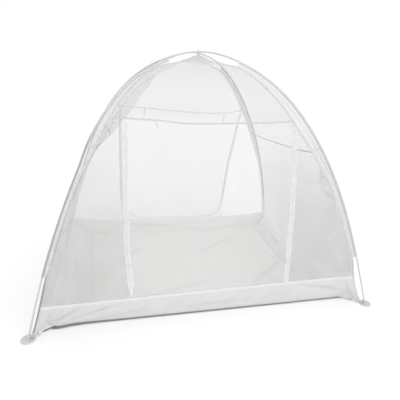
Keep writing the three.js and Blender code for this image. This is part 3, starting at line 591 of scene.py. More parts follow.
# Each crease runs from one place on a wall to another, both as distance along the side (x or y)
# and height. Depth is out of the wall where it is a ridge and in where it is a trough.
CREASES = {
    "front": [
        # from, to, width, depth
        ((-0.80, 0.20), (-0.56, 0.62), 0.030, -0.004),
        ((-0.84, 0.16), (-0.66, 0.78), 0.020, 0.004),
        ((-0.87, 0.17), (-0.80, 0.46), 0.010, 0.007),
        ((-0.845, 0.16), (-0.77, 0.50), 0.010, -0.006),
        ((-0.815, 0.15), (-0.75, 0.40), 0.008, 0.006),
        ((-0.76, 0.14), (-0.735, 0.36), 0.008, -0.005),
        ((-0.70, 0.14), (-0.695, 0.42), 0.008, 0.006),
        ((-0.66, 0.14), (-0.655, 0.44), 0.007, -0.006),
        ((-0.56, 0.15), (-0.575, 0.34), 0.012, 0.004),
        ((0.84, 0.20), (0.62, 0.60), 0.030, -0.004),
        ((-0.40, 1.32), (-0.62, 0.96), 0.025, 0.005),
        ((0.36, 1.30), (0.60, 0.98), 0.025, -0.005),
    ],
    "right": [
        ((-0.60, 0.66), (-0.42, 0.70), 0.010, 0.009),
        ((-0.63, 0.60), (-0.44, 0.665), 0.009, -0.009),
        ((-0.66, 0.50), (-0.56, 0.57), 0.008, 0.009),
        ((-0.69, 0.44), (-0.58, 0.50), 0.008, -0.009),
        ((-0.62, 0.72), (-0.30, 0.66), 0.020, 0.006),
        ((-0.66, 0.62), (-0.36, 0.50), 0.025, -0.006),
        ((-0.60, 0.50), (-0.44, 0.30), 0.020, 0.006),
        ((0.50, 0.70), (0.00, 0.66), 0.015, -0.003),
        ((-0.66, 0.26), (-0.20, 0.40), 0.030, 0.006),
    ],
    "back": [
        ((-0.60, 0.30), (-0.40, 0.80), 0.030, 0.006),
        ((0.60, 0.30), (0.40, 0.80), 0.030, 0.006),
        ((-0.20, 1.30), (-0.40, 1.00), 0.030, 0.006),
        ((0.30, 1.30), (0.50, 1.00), 0.030, 0.006),
    ],
    "left": [
        ((-0.60, 0.60), (-0.40, 1.10), 0.014, 0.009),
        ((-0.56, 0.60), (-0.34, 1.14), 0.014, -0.009),
        ((-0.52, 0.56), (-0.26, 1.20), 0.016, 0.009),
        ((-0.68, 0.30), (-0.52, 0.92), 0.014, 0.008),
        ((-0.64, 0.22), (-0.48, 0.86), 0.016, -0.008),
        ((-0.60, 0.18), (-0.50, 0.60), 0.018, 0.007),
        ((-0.30, 0.30), (-0.20, 1.00), 0.050, 0.008),
        ((0.40, 0.30), (0.20, 1.00), 0.050, 0.008),
    ],
}
RUN_ON = 0.1  # share of its length by which a ridge runs on past its ends
CREASE_ENDS = 0.35  # share of a crease's length over which each end fades


def ridges(rows, across, up, ends):
    """Height of soft ridges at places across and up a cloth. Each row is from, to, width, height."""
    lift = np.zeros(np.shape(across))
    for (x0, y0), (x1, y1), width, height in rows:
        run, climb = x1 - x0, y1 - y0
        length = math.hypot(run, climb)
        share = ((across - x0) * run + (up - y0) * climb) / length**2
        off = ((across - x0) * climb - (up - y0) * run) / length
        fade = smooth_step(share, -RUN_ON, ends) * (1 - smooth_step(share, 1 - ends, 1 + RUN_ON))
        lift += height * fade * np.exp(-((off / width) ** 2))
    return lift


EDGE_WIDTH = 0.006
EDGE_SOFT = 0.004
EDGE_COVER = 0.40


def edged_cover(points, cover, edge_cover=EDGE_COVER):
    """How much of the view a net hides: cover in the open, and more in its turned-in edges."""
    cut = cut_of(points)
    to_side = cut[:, -1:, 0] - np.abs(cut[..., 0])
    to_end = np.minimum(cut[..., 1], cut[-1:, :, 1] - cut[..., 1])
    edge = 1 - smooth_step(np.minimum(to_side, to_end), EDGE_WIDTH, EDGE_WIDTH + EDGE_SOFT)
    return cover + (edge_cover - cover) * edge


NET_U, NET_T = 150, 170
END_CROWD = 0.4  # how much closer the columns lie at a wall's two ends
NET_HOLE = 0.0019  # spacing of the net's threads
NET_THREAD, NET_GAP = 0.9, 0.39  # how cover is shared between the threads and the holes
NET_COVER = {
    # heights, share of the view hidden there
    "front": ([0.13, 0.30, 0.42, 0.55, 0.66, 0.80, 1.00, 1.20, 1.43],
              [0.64, 0.60, 0.53, 0.42, 0.34, 0.28, 0.22, 0.17, 0.26]),
    "right": ([0.13, 0.40, 0.55, 0.66, 0.80, 1.00, 1.20, 1.43],
              [0.62, 0.60, 0.54, 0.49, 0.38, 0.27, 0.20, 0.24]),
    "back": ([0.13, 0.35, 0.70, 1.05, 1.20, 1.43], [0.30, 0.26, 0.20, 0.17, 0.17, 0.26]),
    "left": ([0.13, 0.40, 0.55, 0.66, 0.80, 1.00, 1.20, 1.43],
             [0.62, 0.56, 0.46, 0.38, 0.32, 0.27, 0.22, 0.24]),
}
CREASE_DEPTH = 0.006
CREASE_COVER = 0.16  # how much closer the net looks in a trough of that depth
LEFT_END = (0.55, 0.72)  # distance to the left over which the door's wall grows closer
LEFT_END_COVER = 0.14
DOOR_COVER = 0.13  # the door's panel is a more open net
# where a wall is pulled taut to a back leg, and the share of its cover that it keeps there
BACK_END = {"right": (-0.25, 0.60), "back": (0.42, 0.50)}
BACK_END_COVER = 0.75
DOOR = dict(left=-0.500, right_low=0.400, right_high=0.503, top=1.050, soft=0.010)
# grey for a white net: painted shade of its threads shading one another
NET_TINT = [(0.60, 0.60, 0.595, 1), (0.65, 0.65, 0.645, 1)]


def cut_ways(tree):
    """Distances across and along the flat cloth, in metres."""
    cut = Wire.node(tree, "UVMap", {"uv_map": "cut"})
    return [Wire.node(tree, "SeparateXYZ", None, {0: cut}, output=way) for way in (0, 1)]


def marked(tree, name):
    """The number that each point holds under this name."""
    return Wire.node(tree, "Attribute", {"attribute_name": name}, output="Fac")


net_finish, tree = new_finish("fine_net")
across, along = cut_ways(tree)
threads = across.maths("MAXIMUM", (across + along).wave(NET_HOLE), (across - along).wave(NET_HOLE))
cover = marked(tree, "cover")
patchy = grain(tree, 6, 3.0)
closed_finish(tree, {
    "Base Color": patchy.rise(0.3, 0.7).blend(*NET_TINT),
    "Roughness": 0.8,
    "Sheen Weight": 0.1,
    "Alpha": cover * (threads * NET_THREAD + NET_GAP),
})


def in_door(points):
    """1 inside the door's opening and 0 outside it, at points of the front wall."""
    x, z, soft = points[..., 0], points[..., 2], DOOR["soft"]
    right = DOOR["right_low"] + (DOOR["right_high"] - DOOR["right_low"]) * z / DOOR["top"]
    inside = smooth_step(x, DOOR["left"] - soft, DOOR["left"] + soft)
    inside = inside * (1 - smooth_step(x, right - soft, right + soft))
    return inside * (1 - smooth_step(z, DOOR["top"] - soft, DOOR["top"] + soft))


def net_wall(name):
    turn = np.cos(np.linspace(0, math.pi, NET_U))
    u = 0.5 - 0.5 * turn * (1 - END_CROWD + END_CROWD * np.abs(turn))
    t = np.linspace(SEAM_T, WALL_TOP_T, NET_T)
    points = wall_point(name, u[None, :], t[:, None])
    place = points[..., along_axis(name)]
    lift = ridges(CREASES[name], place, points[..., 2], CREASE_ENDS)
    points = points + normals_of(points, name) * lift[..., None]
    piece = cloth_piece(f"wall_{name}", points)
    cover = through(*NET_COVER[name], points[..., 2])
    if name == "front":
        cover = cover + (DOOR_COVER - cover) * in_door(points)
        cover = cover * (1 + LEFT_END_COVER * smooth_step(-points[..., 0], *LEFT_END))
    if name in BACK_END:
        cover = cover * (1 - (1 - BACK_END_COVER) * smooth_step(place, *BACK_END[name]))
    cover = np.clip(cover * (1 - CREASE_COVER * lift / CREASE_DEPTH), 0.05, 0.9)
    share_of_points(piece, "cover", edged_cover(points, cover))
    piece.data.materials.append(net_finish)
    return piece


for name, row in WALLS.items():
    piece = net_wall(name)
    stand_for(piece, "net", f"net_{name}")


# ---------------------------------------------------------------- peak cap
# A four-sided piece of the same net, doubled, that closes the dome below the crossing of the
# poles. It is sewn along the tops of the walls and hangs from the crown tie.
CAP_T = 0.933
PEAK_Z = 1.470
CAP_GRID = 56
CAP_SQUARE = 5  # the higher, the squarer the cap's flat rim
PLEATS, PLEAT_DEPTH = 9, 0.0018
CAP_COVER = 0.55


def peak_cap():
    corner = {leg: rail_point(leg, np.array([CAP_T]))[0] for leg in LEGS}
    share = np.linspace(0, 1, CAP_GRID)
    a, b = np.meshgrid(share, share, indexing="ij")
    front = corner["fl"] + (corner["fr"] - corner["fl"]) * b[..., None]
    back = corner["bl"] + (corner["br"] - corner["bl"]) * b[..., None]
    points = front + (back - front) * a[..., None]
    out = (np.abs(2 * a - 1) ** CAP_SQUARE + np.abs(2 * b - 1) ** CAP_SQUARE) ** (1 / CAP_SQUARE)
    out = np.minimum(out, 1)
    turn = np.arctan2(2 * b - 1, 2 * a - 1)
    pleat = PLEAT_DEPTH * np.sin(PLEATS * turn + 0.7) * np.sin(math.pi * out) ** 2
    points[..., 2] = PEAK_Z + (points[..., 2] - PEAK_Z) * out + pleat
    piece = cloth_piece("doubled_cap", points)
    share_of_points(piece, "cover", edged_cover(points, CAP_COVER))
    piece.data.materials.append(net_finish)
    return piece


piece = peak_cap()
stand_for(piece, "cloth", "peak_cap")


# ---------------------------------------------------------------- crown tie
# A short loop of white tape, 12 mm wide, sewn to the peak of the cap and closed round both
# poles where they cross.
TAPE_TINT = ((0.84, 0.84, 0.83, 1), (0.91, 0.91, 0.90, 1))
TAPE_WEAVE = 0.0012


def deepened(tree, plain, share, deep):
    """A colour taken down to deep times itself where share is 1."""
    sockets = {0: share, 6: plain, 7: (deep, deep, deep, 1)}
    return Wire.node(tree, "Mix", {"data_type": "RGBA", "blend_type": "MULTIPLY"}, sockets, output=2)


def mottled(tree, clouds, specks, dark, light):
    """The uneven tone of a plain cloth, and its finest part, which also varies the gloss."""
    cloud = grain(tree, clouds, 4.0, 0.6)
    speck = grain(tree, specks, 2.0)
    return (cloud * 0.7 + speck * 0.3).rise(0.35, 0.65).blend(dark, light), speck


def woven(name, dark, light, weave, relief, deep=0.55, backlit=0.35):
    """Plain woven cloth: dark and light clouds, its threads as relief, and painted shade down to deep."""
    finish, tree = new_finish(name)
    across, along = cut_ways(tree)
    threads = across.wave(weave) * along.wave(weave * 0.8)
    plain, speck = mottled(tree, 9, 140, dark, light)
    bump = Wire.node(tree, "Bump", None, {"Strength": 0.5, "Distance": relief, "Height": threads})
    closed_finish(tree, {
        "Base Color": deepened(tree, plain, marked(tree, "painted_shade"), deep),
        "Roughness": speck * 0.1 + 0.8,
        "Sheen Weight": 0.15,
        "Normal": bump,
    }, backlit)
    return finish


tape_finish = woven("white_tape", *TAPE_TINT, TAPE_WEAVE, 0.0003)


def ripple(run, pitches, seed):
    """A wave along run that never quite repeats, from waves of these lengths."""
    phase = np.random.default_rng(seed).uniform(0, 2 * math.pi, len(pitches))
    return sum(np.sin(2 * math.pi * run / p + a) for p, a in zip(pitches, phase)) / len(pitches)


def band_loop(name, middle, across, width, thick):
    """A closed band: middle is the loop of its middle line and across the way over its width."""
    out = unit(np.cross(unit(np.roll(middle, -1, 0) - np.roll(middle, 1, 0)), across))
    corners = []
    for a, b in ((-0.5, -0.5), (-0.46, 0.5), (0.46, 0.5), (0.5, -0.5)):
        corners.append(middle + across * a * width + out * b * thick)
    rings = np.stack(corners, 1)
    faces = grid_faces(len(rings), len(corners), closed_rows=True, closed_columns=True)
    step = np.linalg.norm(np.roll(middle, -1, 0) - middle, axis=1)
    run = np.cumsum(step) - step
    cut = np.stack(np.broadcast_arrays(np.array([0, 0, 1, 1]) * width, run[:, None]), -1)
    piece = mesh_piece(name, rings.reshape(-1, 3), faces, cut.reshape(-1, 2), smooth=False)
    weld(piece, 1e-7)
    return piece


def rounded_loop(width, height, corner, count):
    """Points evenly round a rectangle with rounded corners, as pairs."""
    angle = np.linspace(0, 2 * math.pi, 720, endpoint=False)
    x = np.clip(np.cos(angle) * 3, -1, 1) * (width / 2 - corner) + np.cos(angle) * corner
    y = np.clip(np.sin(angle) * 3, -1, 1) * (height / 2 - corner) + np.sin(angle) * corner
    run = np.concatenate([[0], np.cumsum(np.hypot(np.diff(x), np.diff(y)))])
    even = np.linspace(0, run[-1], count, endpoint=False)
    return np.interp(even, run, x), np.interp(even, run, y)


TIE = dict(width=0.012, loop=(0.0230, 0.0213), thick=0.0012, corner=0.0058, waver=0.0006, steps=64)
y, z = rounded_loop(*TIE["loop"], TIE["corner"], TIE["steps"])
middle = np.stack([np.full(TIE["steps"], CROWN[0]), CROWN[1] + SHIFT_Y + y, CROWN[2] + z], -1)
middle[:, 0] += TIE["waver"] * np.sin(np.linspace(0, 4 * math.pi, TIE["steps"], endpoint=False))
piece = band_loop("crown_loop", middle, np.array([1.0, 0, 0]), TIE["width"], TIE["thick"])
piece.data.materials.append(tape_finish)
stand_for(piece, "tape", "crown_tie")


# ---------------------------------------------------------------- pole sleeves
# A strip folded round each leg of the poles: close cloth where it goes round the rod, and net in
# its two edges, which lie together as a flat fin that runs in to the binding of the wall.
SLEEVE_T = (0.153, 0.860)
SLEEVE_RADIUS = 0.0057
SLEEVE_FIN_HALF = 0.0008
BINDING_HALF = 0.0045
SEAM_CLEAR = 0.0003
SLEEVE_STEPS = 320
SLEEVE_PUCKER = 0.0004
SLEEVE_SWELL = 0.03
FIN_COLUMNS = 7
ROUND_COLUMNS = 15
SLEEVE_TINT = ((0.74, 0.74, 0.73, 1), (0.80, 0.80, 0.79, 1))
# the darkest tone of the painted shade on the cloth round the rod
SLEEVE_SHADE_TINT = (0.42, 0.42, 0.41, 1)
FIN_TINT = (0.72, 0.72, 0.71, 1)
FIN_STREAK = 0.45  # how far the fin's cover varies in streaks along it
FIN_COVER = {
    # shares of the leg, share of the view that each layer of the fin hides
    "fl": ([0.15, 0.45, 0.60, 0.86], [0.36, 0.28, 0.26, 0.28]),
    "fr": ([0.15, 0.45, 0.60, 0.86], [0.50, 0.42, 0.26, 0.24]),
    "br": ([0.15, 0.45, 0.86], [0.30, 0.45, 0.60]),
    "bl": ([0.15, 0.86], [0.16, 0.20]),
}
SLEEVE_SHADE = {
    # shares of the leg, how much painted shade darkens the cloth round the rod there
    "fl": ([0.15, 0.46, 0.56, 0.68, 0.86], [0.85, 0.85, 0.40, 0.15, 0.15]),
    "fr": ([0.15, 0.45, 0.55, 0.86], [0.38, 0.30, 0.10, 0.0]),
    "br": ([0.15, 0.86], [0.45, 0.45]),
    "bl": ([0.15, 0.86], [0.40, 0.40]),
}

sleeve_finish, tree = new_finish("sleeve_cloth")
across, along = cut_ways(tree)
cover = marked(tree, "cover")
cloud = grain(tree, 30, 3.0)
threads = across.wave(0.0010) * along.wave(0.0009)
relief = Wire.node(tree, "Bump", None, {"Strength": 0.10, "Distance": 0.0001, "Height": threads})
# painted shade on the cloth round the rod
around = marked(tree, "painted_shade").blend(cloud.rise(0.35, 0.65).blend(*SLEEVE_TINT), SLEEVE_SHADE_TINT)
closed_finish(tree, {
    "Base Color": cover.rise(0.93, 1.0).blend(FIN_TINT, around),
    "Roughness": cloud * 0.1 + 0.78,
    "Alpha": cover,
    "Normal": relief,
})


def run_along(points):
    """Length from the first of a line of points to each of them."""
    return np.concatenate([[0], np.cumsum(np.linalg.norm(np.diff(points, axis=0), axis=1))])


def sleeve(leg, seed):
    t = np.linspace(*SLEEVE_T, SLEEVE_STEPS)
    at, _, inside, side = leg_frame(leg, t)
    tip = through(*INSETS[leg], t) - BINDING_HALF - SEAM_CLEAR
    run = run_along(at)
    mouth = math.asin(SLEEVE_FIN_HALF / SLEEVE_RADIUS)
    start = SLEEVE_RADIUS * math.cos(mouth)
    pucker = SLEEVE_PUCKER * ripple(run, (0.047, 0.031, 0.083, 0.019), seed)
    swell = 1 + SLEEVE_SWELL * ripple(run, (0.055, 0.090, 0.024), seed + 9)
    columns = []
    for face in (-1, 1):
        fin = []
        for share in np.linspace(0, 1, FIN_COLUMNS, endpoint=False):
            reach = tip + (start - tip) * share
            bend = pucker * math.sin(math.pi * share) + face * SLEEVE_FIN_HALF
            fin.append(at + inside * reach[:, None] + side * bend[:, None])
        columns.append(fin)
    ring = []
    for angle in np.linspace(-mouth, mouth - 2 * math.pi, ROUND_COLUMNS):
        a = SLEEVE_RADIUS * swell * math.cos(angle)
        b = SLEEVE_RADIUS * swell * math.sin(angle)
        ring.append(at + inside * a[:, None] + side * b[:, None])
    points = np.stack([*columns[0], *ring, *columns[1][::-1]], 1)
    piece = cloth_piece(f"sleeve_cloth_{leg}", points)
    slant = run[:, None] * 0.02 + np.linspace(0, 0.06, FIN_COLUMNS)
    streak = FIN_STREAK * ripple(slant, (0.023, 0.041), seed)
    fin_cover = np.clip(through(*FIN_COVER[leg], t)[:, None] * (1 + streak), 0.03, 0.9)
    ring_cover = np.ones((SLEEVE_STEPS, ROUND_COLUMNS))
    share_of_points(piece, "cover", np.concatenate([fin_cover, ring_cover, fin_cover[:, ::-1]], 1))
    # painted shade, by leg and by height up the leg
    shade = through(*SLEEVE_SHADE[leg], t)[:, None]
    share_of_points(piece, "painted_shade", np.tile(shade, (1, points.shape[1])))
    piece.data.materials.append(sleeve_finish)
    return piece


for seed, (leg, rod) in enumerate({
    "fl": "rod_front_left_to_back_right",
    "fr": "rod_front_right_to_back_left",
    "br": "rod_front_left_to_back_right",
    "bl": "rod_front_right_to_back_left",
}.items()):
    piece = sleeve(leg, seed)
    stand_for(piece, "cloth", f"sleeve_{leg}")


# ---------------------------------------------------------------- corner bindings
# A 9 mm tape folded over the edges of two walls and of the sleeve's fin, stitched down both its
# sides. It runs from the foot to the cap inside each pole.
BINDING_T = (0.014, 0.931)
BINDING_THICK_HALF = 0.0011
BINDING_STEPS = 360
BINDING_SWAY = 0.0002
BINDING_OUTLINE = [
    # along the inset, across it, both as shares of the half sizes
    (-1.0, -0.55), (-0.85, -1.0), (-0.70, -0.86), (0.70, -0.86), (0.85, -1.0), (1.0, -0.55),
    (1.0, 0.55), (0.85, 1.0), (0.70, 0.86), (-0.70, 0.86), (-0.85, 1.0), (-1.0, 0.55),
]
LOW_SHADE_FADE = (0.24, 0.34)  # heights between which the painted shade of the low end fades
LOW_SHADE = {"fl": 1.0, "fr": 0.35, "br": 0.35, "bl": 0.35}  # how dark painted shade makes the tape by the foot
binding_finish = woven("binding_tape", (0.86, 0.86, 0.85, 1), (0.91, 0.91, 0.90, 1), 0.0011, 0.0001)


def binding(leg, seed):
    t = np.linspace(*BINDING_T, BINDING_STEPS)
    at, _, inside, side = leg_frame(leg, t)
    run = run_along(at)
    sway = BINDING_SWAY * ripple(run, (0.070, 0.110, 0.041), seed)
    middle = at + inside * through(*INSETS[leg], t)[:, None] + side * sway[:, None]
    rings = np.stack([
        middle + inside * a * BINDING_HALF + side * b * BINDING_THICK_HALF for a, b in BINDING_OUTLINE
    ], 1)
    piece = swept_piece(f"edge_binding_{leg}", rings, 0.020)
    height = rings[..., 2].ravel()
    # painted shade, darker towards the foot
    share_of_points(piece, "painted_shade", LOW_SHADE[leg] * (1 - smooth_step(height, *LOW_SHADE_FADE)))
    piece.data.materials.append(binding_finish)
    return piece


for seed, leg in enumerate(LEGS):
    piece = binding(leg, seed + 20)
    stand_for(piece, "tape", f"binding_{leg}")


# ---------------------------------------------------------------- skirts
# A strip of closer cloth below each wall. A 16 mm tape covers the seam with the net, and the
# lower edge is turned up and stitched. Each end runs out in a narrow ear to the foot.
HEM_CORNERS = {"fl": (-0.934, -0.706), "fr": (0.910, -0.730), "br": (0.915, 0.697), "bl": (-0.915, 0.700)}
HEMS = {
    "front": dict(
        sign=-1, way=1,
        lift=([-0.934, -0.905, -0.850, -0.760, -0.560, 0.910], [0.018, 0.027, 0.020, 0.018, 0.0135, 0.011]),
        at=[-0.934, -0.905, -0.860, -0.780, -0.700, -0.215, 0.548, 0.860, 0.890, 0.902, 0.910],
        out=[0.694, 0.678, 0.688, 0.676, 0.672, 0.676, 0.683, 0.685, 0.694, 0.708, 0.728],
    ),
    "right": dict(
        sign=1, way=1, lift=([0], [0.0070]),
        at=[-0.728, -0.690, -0.640, -0.560, -0.445, -0.392, -0.126, 0, 0.267, 0.480, 0.600, 0.660, 0.697],
        out=[0.908, 0.850, 0.780, 0.722, 0.698, 0.700, 0.715, 0.724, 0.765, 0.782, 0.810, 0.860, 0.915],
    ),
    "back": dict(
        sign=1, way=-1, lift=([0], [0.0065]),
        at=[-0.915, -0.777, -0.682, -0.472, -0.407, 0.090, 0.384, 0.600, 0.694, 0.915],
        out=[0.700, 0.690, 0.655, 0.641, 0.648, 0.640, 0.644, 0.670, 0.692, 0.697],
    ),
    "left": dict(
        sign=-1, way=-1, lift=([-0.706, -0.650, -0.500], [0.018, 0.010, 0.007]),
        at=[-0.706, -0.650, -0.580, -0.411, -0.133, 0.189, 0.480, 0.633, 0.672, 0.700],
        out=[0.932, 0.840, 0.750, 0.696, 0.708, 0.722, 0.735, 0.742, 0.820, 0.915],
    ),
}
EAR_U = 0.03
HEM_SPREAD = 0.005
SEAM_GAP = 0.0010
TIP_GAP = 0.0008
SKIRT_U, SKIRT_DROP = 260, 44
EAR_STEPS = 14
DROP_EASE = 1.1  # above 1, rows lie closer under the top seam
STILL_ENDS = 0.05  # share of the width where the ears hold the cloth flat
BAND, BAND_THICK = 0.016, 0.0008  # the tape over the top seam
TURN_UP, TURN_UP_THICK = 0.011, 0.0007  # the stitched hem
STITCH_UP = 0.008  # the hem's stitching, above its lower edge
FOLD_ENDS = 0.30  # share of a fold's length over which each end fades
SOFT_WAVE = 0.0022
FOLD_DEPTH = 0.006
TROUGH_SHADE = 0.35  # how dark painted shade makes the cloth in a trough of that depth
FOLDS = {
    "front": [
        # from, to as (place along the side, share of the drop), width, depth outwards
        ((-0.915, 0.88), (-0.780, 0.12), 0.010, 0.0075),
        ((-0.895, 0.92), (-0.715, 0.10), 0.009, -0.0070),
        ((-0.860, 0.85), (-0.640, 0.08), 0.011, 0.0080),
        ((-0.840, 0.98), (-0.560, 0.22), 0.011, -0.0065),
        ((-0.780, 0.92), (-0.480, 0.35), 0.013, 0.0060),
        ((-0.720, 0.98), (-0.400, 0.65), 0.014, -0.0045),
        ((-0.480, 0.35), (0.020, 0.50), 0.018, 0.0035),
        ((-0.300, 0.75), (0.350, 0.62), 0.020, -0.0035),
        ((0.100, 0.30), (0.560, 0.38), 0.016, 0.0040),
        ((0.420, 0.72), (0.880, 0.92), 0.016, 0.0045),
        ((0.520, 0.20), (0.870, 0.70), 0.014, -0.0050),
        ((0.700, 0.10), (0.895, 0.85), 0.011, 0.0050),
    ],
    "right": [
        ((-0.700, 0.90), (-0.430, 0.20), 0.018, 0.0060),
        ((-0.660, 0.60), (-0.300, 0.50), 0.020, -0.0060),
        ((-0.350, 0.30), (0.050, 0.60), 0.022, 0.0060),
        ((0.050, 0.65), (0.450, 0.40), 0.022, -0.0050),
        ((0.350, 0.30), (0.660, 0.90), 0.020, 0.0060),
    ],
    "back": [
        ((-0.880, 0.90), (-0.600, 0.20), 0.018, 0.0050),
        ((-0.450, 0.40), (0.050, 0.60), 0.022, -0.0045),
        ((0.100, 0.60), (0.520, 0.35), 0.020, 0.0050),
        ((0.600, 0.20), (0.880, 0.90), 0.018, 0.0050),
    ],
    "left": [
        ((-0.680, 0.90), (-0.430, 0.20), 0.018, 0.0060),
        ((-0.350, 0.50), (0.050, 0.35), 0.022, -0.0060),
        ((0.050, 0.35), (0.450, 0.65), 0.022, 0.0055),
        ((0.400, 0.20), (0.660, 0.90), 0.018, 0.0060),
    ],
}
SKIRT_TINT = ((0.80, 0.80, 0.79, 1), (0.86, 0.86, 0.85, 1))
# the tape over the top seam, and the tone that painted light takes the inner skirts towards
BAND_AND_PAINTED_LIGHT_TINT = (0.93, 0.93, 0.92, 1)
SEAM_TINT = (0.70, 0.70, 0.69, 1)
HEM_TINT = (0.76, 0.76, 0.75, 1)

skirt_finish, tree = new_finish("skirt_cloth")
across, _ = cut_ways(tree)
below = marked(tree, "below")
above = marked(tree, "above")
plain, speck = mottled(tree, 7, 160, *SKIRT_TINT)
taped = below.rise(BAND - 0.001, BAND + 0.004).blend(BAND_AND_PAINTED_LIGHT_TINT, plain)
seam = below.rise(0.0005, 0.0020).blend(SEAM_TINT, taped)
hemmed = above.rise(TURN_UP - 0.001, TURN_UP + 0.0015).blend(HEM_TINT, seam)
# painted light: the skirts seen inside the dome are made paler, each by its own share
hemmed = marked(tree, "painted_light").blend(hemmed, BAND_AND_PAINTED_LIGHT_TINT)
threads = across.wave(0.0011) * below.wave(0.0009)
from_stitch = above.maths("ABSOLUTE", above - STITCH_UP)
stitch = across.wave(0.004) * from_stitch.rise(0.0010, 0.0004)
relief = Wire.node(tree, "Bump", None, {"Strength": 0.5, "Distance": 0.0003, "Height": threads + stitch})
closed_finish(tree, {
    # painted shade in the troughs of the folds
    "Base Color": deepened(tree, hemmed, marked(tree, "painted_shade"), 0.6),
    "Roughness": speck * 0.1 + 0.78,
    "Sheen Weight": 0.15,
    "Normal": relief,
}, backlit=0.25)


def hem_line(name, u):
    """The hem on the ground at shares u from its first foot's ear to its second's."""
    legs, hem, pull = WALLS[name]["legs"], HEMS[name], WALLS[name]["pull"]
    axis = along_axis(name)
    corners, tips = [], []
    for n, leg in enumerate(legs):
        inward = to_middle(leg)
        to_other = np.zeros(3)
        to_other[axis] = hem["way"] * (1 if n == 0 else -1)
        off_plane = unit(to_other - inward * (to_other @ inward))
        height = np.interp(HEM_CORNERS[leg][axis], *hem["lift"])
        corners.append(np.array([*HEM_CORNERS[leg], height]) + off_plane * HEM_SPREAD)
        tip = rail_point(leg, np.array([BINDING_T[0]]))[0]
        other = rail_point(legs[1 - n], np.array([BINDING_T[0]]))[0]
        tips.append(tip + unit(other - tip) * (pull + TIP_GAP) - np.array([0, SHIFT_Y, 0]))
    share = np.clip((u - EAR_U) / (1 - 2 * EAR_U), 0, 1)
    place = corners[0][axis] + (corners[1][axis] - corners[0][axis]) * share
    line = np.zeros(u.shape + (3,))
    line[..., axis] = place
    line[..., 1 - axis] = hem["sign"] * through(hem["at"], hem["out"], place)
    line[..., 2] = np.interp(place, *hem["lift"])
    line = np.where((share <= 0)[..., None], corners[0], line)
    line = np.where((share >= 1)[..., None], corners[1], line)
    near = np.clip(np.minimum(u, 1 - u) / EAR_U, 0, 1)[..., None]
    tip = np.where((u < 0.5)[..., None], tips[0], tips[1])
    return tip + (line - tip) * near + np.array([0, SHIFT_Y, 0])


def skirt(name, painted_light, seed):
    u = np.concatenate([
        np.linspace(0, EAR_U, EAR_STEPS, endpoint=False),
        np.linspace(EAR_U, 1 - EAR_U, SKIRT_U),
        np.linspace(1, 1 - EAR_U, EAR_STEPS, endpoint=False)[::-1],
    ])
    top = wall_point(name, u, np.full(u.shape, SEAM_T))
    hem = hem_line(name, u)
    length = np.linalg.norm(hem - top, axis=1)
    top = top + (hem - top) / length[:, None] * SEAM_GAP
    drop = np.linspace(0, 1, SKIRT_DROP) ** DROP_EASE
    points = top[None] + (hem - top)[None] * drop[:, None, None]
    axis = along_axis(name)
    place = points[..., axis] - SHIFT_Y * axis
    depth = length.max()
    folds = [((a0, d0 * depth), (a1, d1 * depth), *size) for (a0, d0), (a1, d1), *size in FOLDS[name]]
    lift = ridges(folds, place, drop[:, None] * depth, FOLD_ENDS)
    soft = SOFT_WAVE * ripple(place + 0.2 * drop[:, None], (0.31, 0.19, 0.12, 0.47), seed)
    held = np.sin(math.pi * np.clip(drop, 0, 1)) ** 0.7
    body = smooth_step(u, 0, STILL_ENDS) * (1 - smooth_step(u, 1 - STILL_ENDS, 1))
    lift = (lift + soft) * held[:, None] * body[None, :]
    below = length[None, :] * drop[:, None]
    above = length[None, :] - below
    seam_tape = BAND_THICK * (1 - smooth_step(below, BAND - 0.001, BAND + 0.001))
    turned = TURN_UP_THICK * (1 - smooth_step(above, TURN_UP - 0.001, TURN_UP + 0.001))
    raised = lift + (seam_tape + turned) * body[None, :]
    points = points + normals_of(points, name) * raised[..., None]
    piece = cloth_piece(f"skirt_cloth_{name}", points)
    share_of_points(piece, "below", below)
    share_of_points(piece, "above", above)
    share_of_points(piece, "painted_light", np.full(below.shape, painted_light))
    # painted shade in the troughs of the folds
    share_of_points(piece, "painted_shade", np.clip(-lift / FOLD_DEPTH, 0, 1) * TROUGH_SHADE)
    piece.data.materials.append(skirt_finish)
    return piece


for seed, (name, painted_light, flat, area) in enumerate([
    # side, how much painted light makes its cloth paler, size it is cut from, area
    ("front", 0.0, (1.90, 0.17), 0.27),
    ("right", 0.50, (1.52, 0.21), 0.25),
    ("back", 1.0, (1.90, 0.15), 0.22),
    ("left", 0.6, (1.52, 0.23), 0.30),
]):
    piece = skirt(name, painted_light, seed + 30)
    stand_for(piece, "cloth", f"skirt_{name}")


# ---------------------------------------------------------------- groundsheet
# One sheet of the skirts' cloth, sewn into the hem all round. It lies on the ground and rises
# to the hem in its last few centimetres.
FLOOR_GRID = 150
FLOOR_TOP = 0.0030
RISE_REACH = 0.035
SHEET_SOFT = 0.0006
SHEET_FOLD, FOLD_SHADE = 0.003, 0.10  # height of a crease, and how dark painted shade makes it there
SHEET_DEPTH = 1.4  # turns shares of the sheet into metres
OVER_HEM = 0.0010
DOOR_SIDE = (0.005, 0.06)  # shares of the depth, behind the door side, over which the rise sets in
FRONT_FINE = 0.05  # share of the depth where the grid is closer, for the painted shadow at the edge
# along the door side the sheet's edge stays on the ground, darkened by a painted shadow of the hem
HEM_SHADOW_REACH = ([-0.93, -0.86, -0.75, -0.50, 0.90], [0.120, 0.060, 0.034, 0.017, 0.012])
SHEET_TINT = ((0.91, 0.91, 0.90, 1), (0.94, 0.94, 0.93, 1))
FLOOR_FOLDS = [
    # from, to, width, height
    ((-0.70, -0.20), (-0.30, 0.35), 0.020, 0.0030),
    ((-0.50, -0.50), (0.10, -0.30), 0.025, 0.0025),
    ((0.05, 0.10), (0.55, 0.45), 0.022, 0.0030),
    ((0.30, -0.45), (0.72, -0.10), 0.020, 0.0035),
    ((-0.80, 0.55), (-0.45, 0.30), 0.018, 0.0030),
]
sheet_finish = woven("floor_cloth", *SHEET_TINT, 0.0012, 0.0003, deep=0.30, backlit=0.0)


